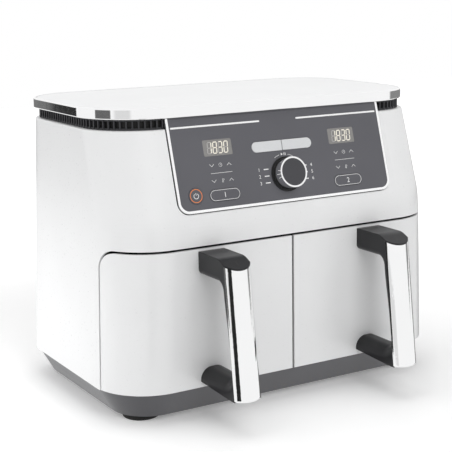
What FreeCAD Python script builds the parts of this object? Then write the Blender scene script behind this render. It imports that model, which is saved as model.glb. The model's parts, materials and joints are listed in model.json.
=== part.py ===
import FreeCAD, Part

"""Double-drawer air fryer, standing on a worktop.  Millimetres, +Z up, +Y towards the back.

The origin is on the worktop, under the middle of the appliance's bounding box.  Each sub-part is
one object of the document, sized from the spreadsheet, and is written to parts/<node>.step.
"""
import math
import os
import re
import Sketcher

Vector = FreeCAD.Vector
doc = FreeCAD.newDocument("air_fryer")
parts = {}

# ---------------------------------------------------------------- driving dimensions
SIZES = [
    ("body_width", 415.0, "housing width at the bottom edge of the shell"),
    ("body_depth", 270.0, "housing depth at the bottom edge of the shell"),
    ("body_height", 325.0, "overall height on its feet"),
    ("handle_reach", 76.0, "how far the handles stand out from the drawer fronts"),
    ("base_top", 34.0, "height of the shell's bottom edge"),
    ("head_height", 142.6, "from the drawer fronts' top edge to the top of the lid"),
    ("brow_height", 20.0, "from the joint above the drawers to the fold in the front"),
    ("intake_height", 11.0, "height of the air intake under the lid"),
    ("front_lean", 16.6, "lean of the upper front from vertical, degrees"),
    ("side_lean", 0.03, "lean of each side, per unit of height"),
    ("back_lean", 0.05, "lean of the back, per unit of height"),
    ("front_corner", 60.0, "radius of the housing's front corners"),
    ("back_corner", 52.0, "radius of the housing's back corners"),
    ("fold_radius", 90.0, "radius of the soft fold in the front"),
    ("shell_wall", 2.5, "wall of the outer shell"),
    ("rim_lip", 14.0, "width of the shell's inward lip at the rim"),
    ("rim_soft", 2.0, "radius along the shell's rim"),
    ("face_gap", 0.3, "clearance between pieces that move past each other"),
    ("nest_gap", 0.1, "clearance between nested faces of one body"),
    ("overlap", 1.0, "how far joined blocks run into each other, and a tool past its face"),
    ("drawer_gap", 2.6, "visible joint around the drawer fronts"),
    ("drawer_wrap", 50.0, "how far a drawer front wraps round the side"),
    ("drawer_corner", 20.0, "radius of a drawer front's upper back corner"),
    ("drawer_wall", 3.0, "wall of a drawer front"),
    ("drawer_rise", 0.8, "gap under a drawer front"),
    ("backplate_depth", 31.0, "from the drawer front's face to the back of its backplate"),
    ("backplate_margin", 3.6, "backplate's inset from the drawer front's edges"),
    ("backplate_wall", 2.5, "wall of the backplate's rim"),
    ("backplate_sheet", 4.0, "thickness of the backplate's rear wall"),
    ("backplate_reach", 4.0, "backplate's outer edge beyond the cavity's side"),
    ("window_half", 40.0, "half the width of the backplate's front window"),
    ("window_margin", 12.0, "window's distance from the drawer front's top and bottom edges"),
    ("basket_wall", 1.5, "basket wall"),
    ("basket_draft", 3.0, "how much narrower the basket is at its floor, each side"),
    ("basket_corner", 24.0, "radius of the basket's corners"),
    ("basket_side_gap", 6.4, "gap between basket and cavity wall, each side"),
    ("basket_rear_gap", 6.0, "gap between basket and cavity back"),
    ("basket_headroom", 22.4, "basket's mouth below the drawer front's top edge"),
    ("plate_clearance", 2.5, "gap between crisper plate and basket wall"),
    ("plate_rise", 9.0, "height of the crisper plate above the basket's floor"),
    ("plate_thickness", 2.0, "crisper plate's thickness"),
    ("slot_width", 6.0, "width of a slot in the crisper plate"),
    ("slot_length", 16.0, "length of a slot"),
    ("slot_pitch_x", 19.0, "slots' pitch across the plate"),
    ("slot_pitch_y", 23.0, "slots' pitch along the plate"),
    ("slot_border", 6.0, "plain border around the slots"),
    ("bumper_radius", 4.5, "silicone bumper's radius"),
    ("bumper_inset", 10.0, "bumper's distance from the plate's edges"),
    ("liner_floor", 40.0, "height of the cavity's underside"),
    ("liner_headroom", 22.6, "cavity's top above the drawer front's top edge"),
    ("centre_space", 16.0, "space between the two cavities"),
    ("side_space", 8.0, "space between a cavity and the shell's side"),
    ("rear_space", 36.0, "space between a cavity and the shell's back"),
    ("liner_wall", 1.5, "sheet of the cavity"),
    ("frame_setback", 3.0, "front frame's place behind the drawer fronts' side edge"),
    ("frame_thickness", 4.0, "front frame's thickness"),
    ("frame_flange", 3.0, "thickness of the front frame's header and sill"),
    ("opening_margin", 2.5, "gap between basket and the frame's opening"),
    ("runner_width", 8.0, "width of a drawer runner"),
    ("runner_spread", 60.0, "runner's distance from the zone's centre"),
    ("runner_start", 2.0, "runner's front end behind the cavity's front edge"),
    ("runner_end", 10.0, "runner's back end before the cavity's back"),
    ("switch_rise", 40.0, "first drawer switch's height above the cavity's underside"),
    ("switch_spacing", 35.0, "from one drawer switch to the other"),
    ("switch_pin", 1.5, "radius of a switch's pin and paddle"),
    ("switch_paddle", 12.0, "length of a switch's paddle"),
    ("switch_width", 12.0, "width of a switch"),
    ("switch_depth", 14.0, "depth of a switch"),
    ("switch_height", 20.0, "height of a switch"),
    ("basket_lift", 4.5, "basket's height above the cavity's floor"),
    ("base_inset", 18.0, "how far the base tapers in at the bottom"),
    ("base_step", 2.5, "how far the base is set back under the shell"),
    ("base_wall", 3.0, "wall of the base tray"),
    ("post_inset", 16.0, "base post's distance from its cavity's walls"),
    ("post_radius", 6.0, "radius of a base post"),
    ("base_screw", 18.0, "how far a housing screw reaches above the base's underside"),
    ("foot_height", 6.0, "height of a foot"),
    ("foot_radius", 20.0, "radius of a foot"),
    ("foot_edge", 2.0, "radius round the bottom of a foot"),
    ("foot_x", 163.0, "foot's distance from the middle"),
    ("foot_inset", 47.0, "foot's distance from the housing's front and back"),
    ("lid_band", 11.0, "height of the bright lid band"),
    ("lid_overhang", 2.4, "lid's overhang beyond the rim"),
    ("lid_front_corner", 72.0, "radius of the lid's front corners"),
    ("lid_back_corner", 58.0, "radius of the lid's back corners"),
    ("lid_wall", 2.6, "width of the bright band seen from above"),
    ("lid_ledge", 12.0, "width of the ledge that carries the top panel"),
    ("lid_sink", 0.5, "top panel's drop below the band"),
    ("lid_joint", 0.2, "joint between the band and the top panel"),
    ("lid_soft", 1.2, "radius along the lid band's edges"),
    ("top_thickness", 3.0, "top panel's thickness"),
    ("vent_inset", 4.0, "intake ring's setback from the rim"),
    ("vent_wall", 3.0, "wall of the intake ring"),
    ("vent_pitch", 24.0, "pitch of the intake ring's posts"),
    ("vent_post", 5.0, "width of a post"),
    ("vent_rail", 1.6, "height of the intake ring's rails"),
    ("panel_rise", 14.2, "panel's bottom edge above the fold, up the slope"),
    ("panel_side", 14.0, "from the panel's edge to the start of the front's rounded corner"),
    ("panel_top_gap", 1.0, "gap between the panel's top edge and the lid"),
    ("panel_corner", 12.0, "radius of the panel's bottom corners"),
    ("panel_top_corner", 0.8, "radius of the panel's top corners"),
    ("hatch_reach", 6.0, "how far the panel's opening runs behind the rim's lip"),
    ("panel_groove", 1.1, "dark joint around the panel"),
    ("bezel_width", 2.7, "width of the bright frame line"),
    ("bezel_proud", 1.2, "frame line's height above the shell"),
    ("fascia_proud", 0.8, "fascia's height above the shell"),
    ("fascia_depth", 1.7, "fascia's back face below the shell's surface"),
    ("carrier_depth", 5.0, "carrier's back face below the shell's surface"),
    ("carrier_lap", 4.5, "carrier's lap behind the shell"),
    ("carrier_short", 20.0, "flange's top edge below the panel's"),
    ("carrier_corner", 6.0, "radius of the flange's corners"),
    ("carrier_inset", 0.4, "carrier's step inside the panel's outline"),
    ("carrier_post", 3.0, "radius of a post behind the carrier"),
    ("carrier_post_inset", 12.0, "post's distance from the panel's edges"),
    ("board_depth", 7.4, "control board's front face below the shell's surface"),
    ("board_thickness", 1.6, "circuit board's thickness"),
    ("board_side", 5.0, "control board's side edge inside the panel's"),
    ("board_foot", 4.0, "control board's lower edge above the panel's"),
    ("board_head", 6.0, "control board's upper edge below the panel's"),
    ("board_corner", 3.0, "radius of the control board's corners"),
    ("dome_radius", 2.6, "radius of a switch dome on the control board"),
    ("dome_height", 0.7, "height of a switch dome"),
    ("chip_x", 40.0, "controller chip's distance from the middle"),
    ("chip_size", 14.0, "controller chip's side"),
    ("chip_height", 1.4, "controller chip's height"),
    ("chip_corner", 0.5, "radius of the chip's corners"),
    ("display_y", 64.9, "display's centre up the slope"),
    ("display_width", 34.0, "display window's width"),
    ("display_height", 17.0, "display window's height"),
    ("display_edge", 55.5, "display's centre from the panel's edge"),
    ("lens_flange", 2.0, "display lens's flange behind the fascia"),
    ("lens_sheet", 1.3, "thickness of a lens's flange"),
    ("lens_corner", 1.8, "radius of a lens flange's corners"),
    ("lens_sink", 0.1, "lens's front face below the fascia's"),
    ("display_corner", 1.5, "radius of a display window's corners"),
    ("bar_inner", 23.0, "light bar's inner end"),
    ("bar_edge", 4.5, "light bar's outer end from the panel's edge"),
    ("bar_y", 88.3, "light bar's place up the slope"),
    ("bar_width", 1.8, "light bar's width"),
    ("bar_corner", 0.4, "radius of a light bar's corners"),
    ("key_proud", 1.2, "key's height above the shell"),
    ("key_gap", 0.35, "gap between a key and the fascia"),
    ("key_flange", 1.2, "key's flange beyond its cap"),
    ("key_sheet", 1.2, "thickness of a key's flange"),
    ("stem_radius", 1.5, "radius of a key's stem"),
    ("stem_gap", 1.6, "gap between a key's stem and the control board"),
    ("power_y", 17.5, "power key's place up the slope"),
    ("power_radius", 8.2, "power key's radius"),
    ("power_edge", 21.5, "power key's centre from the panel's edge"),
    ("zone_key_y", 15.6, "zone key's place up the slope"),
    ("zone_key_width", 36.0, "zone key's width"),
    ("zone_key_height", 12.0, "zone key's height"),
    ("pill_y", 60.8, "twin key's place up the slope"),
    ("pill_height", 11.0, "twin key's height"),
    ("pill_edge", 23.5, "gap between the twin key and the displays"),
    ("pill_split", 0.8, "gap between the two halves of the twin key"),
    ("pill_corner", 0.6, "radius of the twin key's inner corners"),
    ("pill_flange", 0.3, "twin key's flange beyond its cap"),
    ("dial_y", 29.5, "dial's centre up the slope"),
    ("dial_radius", 16.4, "dial's radius"),
    ("dial_height", 15.8, "dial's front face above the shell"),
    ("dial_lift", 2.8, "dial's back edge above the shell"),
    ("dial_travel", 0.6, "dial's press travel"),
    ("dial_inlay", 1.2, "depth of the dial's inlaid face"),
    ("inlay_sink", 0.2, "inlaid face's drop below the dial's front"),
    ("dial_rim", 1.8, "width of the dial's bright rim"),
    ("dial_gap", 0.5, "gap round the dial"),
    ("collar_radius", 18.6, "dark collar's radius round the dial"),
    ("collar_height", 2.4, "dark collar's height above the shell"),
    ("shaft_radius", 3.0, "dial shaft's radius"),
    ("shaft_short", 4.0, "dial shaft's end below the dial's front"),
    ("running_gap", 0.05, "radial clearance of a turning shaft"),
    ("bushing_radius", 4.5, "dial bushing's radius"),
    ("bushing_rise", 0.4, "bushing's end above the dial's back edge"),
    ("bushing_room", 1.6, "dial's clearance over the bushing's end"),
    ("relief_gap", 2.0, "dial's clearance round the bushing"),
    ("encoder_size", 13.0, "encoder's side length"),
    ("encoder_corner", 0.8, "radius of the encoder's corners"),
    ("encoder_well", 3.4, "height of the hollow in the encoder"),
    ("plunger_radius", 4.8, "radius of the encoder's plunger"),
    ("plunger_thickness", 1.0, "thickness of the plunger"),
    ("handle_width", 31.0, "handle's width"),
    ("handle_drop", 2.4, "handle's top below the drawer front's top edge"),
    ("handle_rise", 4.0, "handle's bottom above the shell's bottom edge"),
    ("handle_lean", 18.0, "how much further the handle stands out at its bottom"),
    ("handle_arm", 24.0, "depth of the upper arm"),
    ("handle_grip", 8.0, "thickness of the grip behind its bright cover"),
    ("handle_foot", 18.0, "depth of the lower arm"),
    ("foot_taper", 3.0, "rise of the lower arm's underside towards the drawer"),
    ("handle_round", 10.0, "radius inside the handle's loop"),
    ("handle_soft", 6.0, "radius along the back of the grip"),
    ("foot_soft", 13.0, "radius along the top of the lower arm"),
    ("cap_soft", 0.8, "radius round the edge of the handle's top"),
    ("cap_start", 18.0, "how far behind the handle's tip its top begins to fall"),
    ("cap_fall", 8.0, "how far the handle's top falls to its tip"),
    ("cap_bend", 22.0, "radius where the handle's top begins to fall"),
    ("cap_edge", 1.6, "height of the dark cap over the bright cover"),
    ("trim_bulge", 8.5, "bulge of the bright cover"),
    ("trim_toe", 2.2, "radius round the cover's bottom edge"),
    ("screw_radius", 2.0, "screw shank's radius"),
    ("screw_head", 4.2, "screw head's radius"),
    ("screw_head_height", 2.6, "screw head's height"),
    ("head_sink", 0.4, "screw head's depth below its surface"),
    ("head_gap", 0.5, "clearance round a screw head"),
    ("handle_screw", 16.0, "handle screw's length in front of the drawer's face"),
    ("screw_boss", 8.0, "radius of the boss round a handle screw"),
    ("fan_radius", 56.0, "cooking fan's radius"),
    ("fan_lift", 3.6, "cooking fan's underside above the drawer front's top edge"),
    ("fan_height", 13.0, "cooking fan's height"),
    ("fan_hub", 10.0, "radius of a fan's hub"),
    ("fan_sheet", 1.5, "a fan's sheet"),
    ("vane_start", 7.0, "blade's inner end from the fan's axis"),
    ("vane_turn", 12.0, "blade's turn from the radius, degrees"),
    ("rotor_shaft", 4.0, "motor shaft's radius"),
    ("shaft_room", 4.0, "clearance round the motor shaft in the cavity's top"),
    ("shaft_end", 3.0, "how far the motor shaft stands past each fan"),
    ("deck_lift", 9.0, "chassis deck's height above the cavities"),
    ("deck_thickness", 2.0, "chassis deck's thickness"),
    ("deck_inset", 4.0, "deck's side edge inside the cavity's"),
    ("deck_depth", 96.0, "chassis deck's depth"),
    ("deck_leg", 8.0, "side of a deck leg"),
    ("leg_spread", 54.0, "inner legs' distance from the fan's axis"),
    ("deck_hole", 12.0, "radius of the deck's shaft holes"),
    ("motor_radius", 36.0, "motor's radius"),
    ("motor_height", 34.0, "motor's height"),
    ("boss_radius", 9.0, "radius of the boss on a motor"),
    ("boss_height", 4.0, "height of the boss"),
    ("cooler_radius", 42.0, "cooling fan's radius"),
    ("cooler_lift", 6.0, "cooling fan's height above the motor"),
    ("cooler_height", 9.0, "cooling fan's height"),
    ("heater_drop", 6.4, "heater coil's height below the drawer front's top edge"),
    ("heater_radius", 66.0, "radius of the heater's outer turn"),
    ("heater_pitch", 18.5, "from one heater turn to the next"),
    ("heater_link", 2.0, "radius of the rod that ties the turns"),
    ("lead_spread", 9.0, "heater lead's distance from the heater's middle line"),
    ("lead_radius", 2.5, "radius of a heater lead and of the probe"),
    ("lead_gap", 0.5, "clearance round a heater lead"),
    ("lead_rise", 7.0, "how far a lead stands above the cavity"),
    ("bush_radius", 6.0, "radius of the bush round a lead"),
    ("bush_height", 4.0, "height of the bush"),
    ("probe_drop", 14.0, "probe's tip below the heater"),
    ("heater_tube", 3.2, "radius of the heater's tube"),
    ("cover_width", 236.0, "rear cover's width"),
    ("cover_rise", 28.0, "rear cover's bottom edge above the shell's"),
    ("cover_drop", 57.0, "rear cover's top edge below the rim"),
    ("cover_joint", 0.8, "joint around the rear cover"),
    ("cover_lap", 7.0, "rear cover's lap behind the shell"),
    ("louvre_pitch", 9.0, "pitch of the exhaust louvres"),
    ("louvre_height", 4.0, "height of a louvre"),
    ("louvre_margin", 11.8, "louvre's end inside the cover's edge"),
    ("louvre_rib", 11.8, "rib between the two columns of louvres"),
    ("gland_x", 100.0, "cord gland's distance from the middle"),
    ("gland_rise", 12.5, "cord gland's height above the shell's bottom edge"),
    ("gland_flange", 0.6, "thickness of the cord gland's outer flange"),
    ("gland_lap", 3.0, "flange's width round the gland"),
    ("gland_length", 14.0, "how far the gland reaches into the housing"),
    ("gland_radius", 8.0, "cord gland's radius"),
    ("cord_hole", 3.8, "radius of the cord hole"),
    ("power_width", 92.0, "power board's width"),
    ("power_depth", 74.0, "power board's depth"),
    ("power_start", 34.0, "power board's front edge before the fans' axes"),
    ("power_lift", 6.0, "power board's height above the deck"),
    ("power_post", 3.0, "radius of a post under the power board"),
    ("power_post_inset", 6.0, "post's distance from the power board's edges"),
]

sheet = doc.addObject("Spreadsheet::Sheet", "sizes")
for row, (alias, number, note) in enumerate(SIZES, start=1):
    sheet.set(f"A{row}", alias)
    sheet.set(f"B{row}", str(number))
    sheet.set(f"C{row}", note)
    sheet.setAlias(f"B{row}", alias)
doc.recompute()


# ---------------------------------------------------------------- derived places
PLACES = {
    "front": "(sizes.handle_reach - sizes.body_depth) / 2",
    "back": "places.front + sizes.body_depth",
    "drawer_top": "sizes.body_height - sizes.head_height",
    "fold_height": "places.drawer_top + sizes.drawer_gap + sizes.brow_height",
    "lid_bottom": "sizes.body_height - sizes.lid_band",
    "rim_height": "places.lid_bottom - sizes.intake_height",
    "rim_front": "places.front + tan(sizes.front_lean) * (places.rim_height - places.fold_height)",
    "frame_front": "places.front + sizes.drawer_wrap + sizes.frame_setback",
    "liner_front": "places.frame_front + sizes.frame_thickness",
    "liner_roof": "places.drawer_top + sizes.liner_headroom",
    "roof_half": "sizes.body_width / 2 - sizes.side_lean * (places.liner_roof - sizes.base_top)",
    "roof_back": "places.back - sizes.back_lean * (places.liner_roof - sizes.base_top)",
    "liner_in": "sizes.centre_space / 2",
    "liner_out": "places.roof_half - sizes.shell_wall - sizes.side_space",
    "liner_back": "places.roof_back - sizes.shell_wall - sizes.rear_space",
    "zone_offset": "(places.liner_in + places.liner_out) / 2",
    "fan_y": "(places.liner_front + places.liner_back) / 2",
    "backplate_back": "places.front + sizes.backplate_depth",
    "basket_half": "places.zone_offset - places.liner_in - sizes.liner_wall - sizes.basket_side_gap",
    "basket_back": "places.liner_back - sizes.liner_wall - sizes.basket_rear_gap",
    "basket_floor": "sizes.liner_floor + sizes.liner_wall + sizes.basket_lift",
    "basket_top": "places.drawer_top - sizes.basket_headroom",
    "heater_height": "places.drawer_top - sizes.heater_drop",
    "fan_floor": "places.drawer_top + sizes.fan_lift",
    "deck_height": "places.liner_roof + sizes.deck_lift",
    "deck_top": "places.deck_height + sizes.deck_thickness",
    "motor_top": "places.deck_top + sizes.motor_height",
    "handle_top": "places.drawer_top - sizes.handle_drop",
    "handle_bottom": "sizes.base_top + sizes.handle_rise",
    "trim_low_y": "places.front - sizes.handle_reach + sizes.trim_bulge",
    "panel_half": "sizes.body_width / 2 - sizes.front_corner - sizes.panel_side",
    "panel_length": (
        "(places.lid_bottom - sizes.panel_top_gap - places.fold_height) / cos(sizes.front_lean)"
        " - sizes.panel_rise"
    ),
    "display_x": "places.panel_half - sizes.display_edge",
    "bar_outer": "places.panel_half - sizes.bar_edge",
    "power_x": "places.panel_half - sizes.power_edge",
    "pill_half": "places.display_x - sizes.display_width / 2 - sizes.pill_edge",
    "cover_low": "sizes.base_top + sizes.cover_rise",
    "cover_high": "places.rim_height - sizes.cover_drop",
    "gland_z": "sizes.base_top + sizes.gland_rise",
}


def resolve(expression):
    """An expression with every derived place written out in driving dimensions."""
    text = str(expression)
    while "places." in text:
        text = re.sub(r"places\.(\w+)", lambda found: f"({PLACES[found.group(1)]})", text)
    return text


def value(expression):
    """The number that an expression gives now."""
    return float(sheet.evalExpression(resolve(expression)))


PANEL_FRAME = (
    "placement(vector(0; places.front + sizes.panel_rise * sin(sizes.front_lean);"
    " places.fold_height + sizes.panel_rise * cos(sizes.front_lean));"
    " rotation(vector(1; 0; 0); 90 - sizes.front_lean))"
)
# the depth from the cavities to past the housing's back
BACK_ZONE = ("places.back - sizes.rear_space", "places.back + sizes.overlap")
FOLD_STEPS = 6
# coordinates closer than this are the same
TOUCH = 0.01


# ---------------------------------------------------------------- helpers
def bind(target, **expressions):
    """Binds properties; a dot in a property's path is written as a double underscore."""
    for path, expression in expressions.items():
        target.setExpression(path.replace("__", "."), resolve(expression))
    return target


def box(name, x, y, z):
    """A block between two corners, each given as (low, high) expressions."""
    block = doc.addObject("Part::Box", name)
    for side, place, (low, high) in zip(("Length", "Width", "Height"), "xyz", (x, y, z)):
        block.setExpression(side, resolve(f"({high}) - ({low})"))
        block.setExpression(f"Placement.Base.{place}", resolve(low))
    return block


def cylinder(name, x, y, z, radius, axis="Z"):
    """A round bar; the coordinate along its axis is a (low, high) pair."""
    bar = doc.addObject("Part::Cylinder", name)
    place = {"X": x, "Y": y, "Z": z}
    low, high = place[axis]
    place[axis] = low
    turn = {"X": (Vector(0, 1, 0), 90), "Y": (Vector(1, 0, 0), -90), "Z": (Vector(0, 0, 1), 0)}[axis]
    bar.Placement = FreeCAD.Placement(Vector(), FreeCAD.Rotation(*turn))
    bind(bar, Radius=str(radius), Height=f"({high}) - ({low})")
    for letter in "XYZ":
        bar.setExpression(f"Placement.Base.{letter.lower()}", resolve(place[letter]))
    return bar


def fuse(name, *pieces):
    """Pieces joined to one."""
    joined = doc.addObject("Part::MultiFuse", name)
    joined.Shapes = list(pieces)
    return joined


def cut(name, base, *tools):
    """Base less every tool."""
    tool = tools[0] if len(tools) == 1 else group(f"{name}_tools", *tools)
    rest = doc.addObject("Part::Cut", name)
    rest.Base = base
    rest.Tool = tool
    return rest


def common(name, *pieces):
    """What all the pieces share."""
    shared = doc.addObject("Part::MultiCommon", name)
    shared.Shapes = list(pieces)
    return shared


def group(name, *pieces):
    """Separate solids in one object."""
    bundle = doc.addObject("Part::Compound", name)
    bundle.Links = list(pieces)
    return bundle


def mirrored(name, source):
    """The piece on the other side of the appliance's middle."""
    image = doc.addObject("Part::Mirroring", name)
    image.Source = source
    image.Normal = Vector(1, 0, 0)
    return image


def node(name, piece):
    """Names a finished sub-part."""
    piece.Label = name
    parts[name] = piece
    return piece


def both_sides(name, right):
    """A right-hand piece and its left-hand image, in one object."""
    return group(name, right, mirrored(f"{name}_image", right))


def through(low, high):
    """A range that runs past both ends, for a tool that cuts right through."""
    return f"({low}) - sizes.overlap", f"({high}) + sizes.overlap"


def centred(x, y, width, height, grow="0"):
    """Ranges of a rectangle about a centre, made larger by grow on every side."""
    half_x = f"(({width}) / 2 + ({grow}))"
    half_y = f"(({height}) / 2 + ({grow}))"
    return (f"{x} - {half_x}", f"{x} + {half_x}"), (f"{y} - {half_y}", f"{y} + {half_y}")


def on_fan_axis(name, z, radius):
    """A round bar on the right-hand fan's axis."""
    return cylinder(name, "places.zone_offset", "places.fan_y", z, radius)


def pair(name, piece):
    """A right-hand sub-part and its left-hand image."""
    node(f"{name}_left", mirrored(f"{name}_image", piece))
    return node(f"{name}_right", piece)


def fillet(name, piece, radius, wanted):
    """Rounds the edges for which wanted(edge) is true."""
    doc.recompute()
    chosen = [index for index, edge in enumerate(piece.Shape.Edges, start=1) if wanted(edge)]
    rounded_piece = doc.addObject("Part::Fillet", name)
    rounded_piece.Base = piece
    rounded_piece.Edges = [(index, value(radius), value(radius)) for index in chosen]
    return rounded_piece


# ---------------------------------------------------------------- sketches
TURNS = {
    "XY": FreeCAD.Rotation(),
    "YZ": FreeCAD.Rotation(Vector(1, 1, 1), 120),
    "XZ": FreeCAD.Rotation(Vector(1, 0, 0), 90),
}
LIFT = {"XY": "z", "YZ": "x", "XZ": "y"}


def loose_sketch(name, plane="XY", offset="0"):
    """A sketch of its own, for a loft or an extrusion."""
    drawing = doc.addObject("Sketcher::SketchObject", name)
    drawing.Placement = FreeCAD.Placement(Vector(), TURNS[plane])
    drawing.setExpression(f"Placement.Base.{LIFT[plane]}", resolve(offset))
    return drawing


def body_sketch(body, name, plane="XY", offset="0"):
    """A sketch on one of the body's own origin planes, lifted off it by offset."""
    drawing = body.newObject("Sketcher::SketchObject", name)
    base = next(item for item in body.Origin.OriginFeatures if item.Role == f"{plane}_Plane")
    drawing.AttachmentSupport = (base, [""])
    drawing.MapMode = "FlatFace"
    drawing.setExpression("AttachmentOffset.Base.z", resolve(offset))
    return drawing


def dimension(drawing, kind, where, expression):
    """One driving dimension of a sketch, bound to its expression."""
    index = drawing.addConstraint(Sketcher.Constraint(kind, *where, value(expression)))
    drawing.setExpression(f"Constraints[{index}]", resolve(expression))


def circle(drawing, x, y, radius):
    """A circle by its centre and radius."""
    centre = Vector(value(x), value(y), 0)
    index = drawing.addGeometry(Part.Circle(centre, Vector(0, 0, 1), value(radius)))
    dimension(drawing, "DistanceX", (-1, 1, index, 3), x)
    dimension(drawing, "DistanceY", (-1, 1, index, 3), y)
    dimension(drawing, "Radius", (index,), radius)
    return drawing


def polygon(drawing, corners):
    """A closed outline of straight edges, every corner bound to its two expressions."""
    points = [Vector(value(x), value(y), 0) for x, y in corners]
    edges = [Part.LineSegment(start, end) for start, end in zip(points, points[1:] + points[:1])]
    first = drawing.addGeometry(edges)[0]
    count = len(corners)
    for turn, (x, y) in enumerate(corners):
        following = first + (turn + 1) % count
        drawing.addConstraint(Sketcher.Constraint("Coincident", first + turn, 2, following, 1))
        dimension(drawing, "DistanceX", (-1, 1, first + turn, 1), x)
        dimension(drawing, "DistanceY", (-1, 1, first + turn, 1), y)
    return drawing


def outline(drawing, x, y, *radii):
    """A rectangle with rounded corners: radii run south-west, south-east, north-east, north-west."""
    if len(radii) == 1:
        radii = radii * 4
    if len(radii) == 2:
        radii = (radii[0], radii[0], radii[1], radii[1])
    west, east = value(x[0]), value(x[1])
    south, north = value(y[0]), value(y[1])
    sw, se, ne, nw = [value(radius) for radius in radii]
    quarter = math.pi / 2

    def bend(centre_x, centre_y, radius, start):
        ring = Part.Circle(Vector(centre_x, centre_y, 0), Vector(0, 0, 1), radius)
        return Part.ArcOfCircle(ring, start * quarter, (start + 1) * quarter)

    edges = [
        Part.LineSegment(Vector(west + sw, south, 0), Vector(east - se, south, 0)),
        bend(east - se, south + se, se, 3),
        Part.LineSegment(Vector(east, south + se, 0), Vector(east, north - ne, 0)),
        bend(east - ne, north - ne, ne, 0),
        Part.LineSegment(Vector(east - ne, north, 0), Vector(west + nw, north, 0)),
        bend(west + nw, north - nw, nw, 1),
        Part.LineSegment(Vector(west, north - nw, 0), Vector(west, south + sw, 0)),
        bend(west + sw, south + sw, sw, 2),
    ]
    first = drawing.addGeometry(edges)[0]
    for turn in range(len(edges)):
        following = first + (turn + 1) % len(edges)
        drawing.addConstraint(Sketcher.Constraint("Tangent", first + turn, 2, following, 1))
    for edge, way in ((0, "Horizontal"), (2, "Vertical"), (4, "Horizontal"), (6, "Vertical")):
        drawing.addConstraint(Sketcher.Constraint(way, first + edge))
    for arc, radius in zip((7, 1, 3, 5), radii):
        dimension(drawing, "Radius", (first + arc,), radius)
    dimension(drawing, "DistanceX", (-1, 1, first + 6, 1), x[0])
    dimension(drawing, "DistanceX", (-1, 1, first + 2, 1), x[1])
    dimension(drawing, "DistanceY", (-1, 1, first, 1), y[0])
    dimension(drawing, "DistanceY", (-1, 1, first + 4, 1), y[1])
    return drawing


def extrusion(name, drawing, length):
    """A loose sketch pulled along its normal."""
    solid = doc.addObject("Part::Extrusion", name)
    solid.Base = drawing
    solid.DirMode = "Normal"
    solid.Solid = True
    solid.setExpression("LengthFwd", resolve(length))
    return solid


def loft(name, drawings):
    """A straight-sided loft through loose sketches."""
    solid = doc.addObject("Part::Loft", name)
    solid.Sections = drawings
    solid.Solid = True
    solid.Ruled = True
    return solid


def make_body(name, frame=None):
    """A PartDesign body, set in the panel's frame where one is given."""
    body = doc.addObject("PartDesign::Body", name)
    if frame:
        body.setExpression("Placement", resolve(frame))
    return body


def pad(body, drawing, length, midplane=False):
    """Adds material from a body sketch, along the sketch's normal."""
    feature = body.newObject("PartDesign::Pad", f"{drawing.Name}_pad")
    feature.Profile = drawing
    feature.Midplane = midplane
    feature.setExpression("Length", resolve(length))
    return feature


def pocket(body, drawing, depth):
    """Cuts down from a body sketch and checks that material went."""
    doc.recompute()
    before = body.Shape.Volume
    feature = body.newObject("PartDesign::Pocket", f"{drawing.Name}_pocket")
    feature.Profile = drawing
    feature.setExpression("Length", resolve(depth))
    doc.recompute()
    if body.Shape.Volume >= before:
        raise ValueError(f"{feature.Name} cuts nothing")
    return feature


def slab(body, name, low, area, corner, height):
    """A rounded block, up from a level of the body's frame."""
    return pad(body, outline(body_sketch(body, name, "XY", low), *area, corner), height)


# ---------------------------------------------------------------- the housing's master form
def half_width(height):
    """Half the housing's width at a height."""
    return f"(sizes.body_width / 2 - sizes.side_lean * (({height}) - sizes.base_top))"


def back_at(height):
    """The back face's place at a height."""
    return f"(places.back - sizes.back_lean * (({height}) - sizes.base_top))"


def section(name, height, front, inset):
    """The housing's outline at one height, drawn in by inset."""
    side = f"{half_width(height)} - ({inset})"
    return outline(
        loose_sketch(name, "XY", height),
        (f"-({side})", side),
        (f"{front} + ({inset})", f"{back_at(height)} - ({inset})"),
        f"sizes.front_corner - ({inset})",
        f"sizes.back_corner - ({inset})",
    )


def form(name, inset, low, high):
    """The housing's shape drawn in by inset, from low to high, across the fold."""
    setback = "sizes.fold_radius * tan(sizes.front_lean / 2)"
    drawings = [section(f"{name}_low", low, "places.front", inset)]
    for step in range(FOLD_STEPS + 1):
        angle = f"(sizes.front_lean * {step} / {FOLD_STEPS})"
        height = f"places.fold_height - {setback} + sizes.fold_radius * sin({angle})"
        front = f"(places.front + sizes.fold_radius * (1 - cos({angle})))"
        drawings.append(section(f"{name}_fold{step}", height, front, inset))
    front = f"(places.front + tan(sizes.front_lean) * (({high}) - places.fold_height))"
    drawings.append(section(f"{name}_high", high, front, inset))
    return loft(name, drawings)


def straight_form(name, inset, low, high):
    """The housing's shape below the fold, drawn in by inset."""
    return loft(name, [
        section(f"{name}_low", low, "places.front", inset),
        section(f"{name}_high", high, "places.front", inset),
    ])


def rim_slab(name, inset, low, high, front="sizes.front_corner", back="sizes.back_corner"):
    """An upright slab with the rim's outline, drawn in by inset; front and back are corner radii."""
    side = f"{half_width('places.rim_height')} - ({inset})"
    drawing = outline(
        loose_sketch(f"{name}_outline", "XY", low),
        (f"-({side})", side),
        (f"places.rim_front + ({inset})", f"{back_at('places.rim_height')} - ({inset})"),
        f"{front} - ({inset})",
        f"{back} - ({inset})",
    )
    return extrusion(name, drawing, f"({high}) - ({low})")


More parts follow.
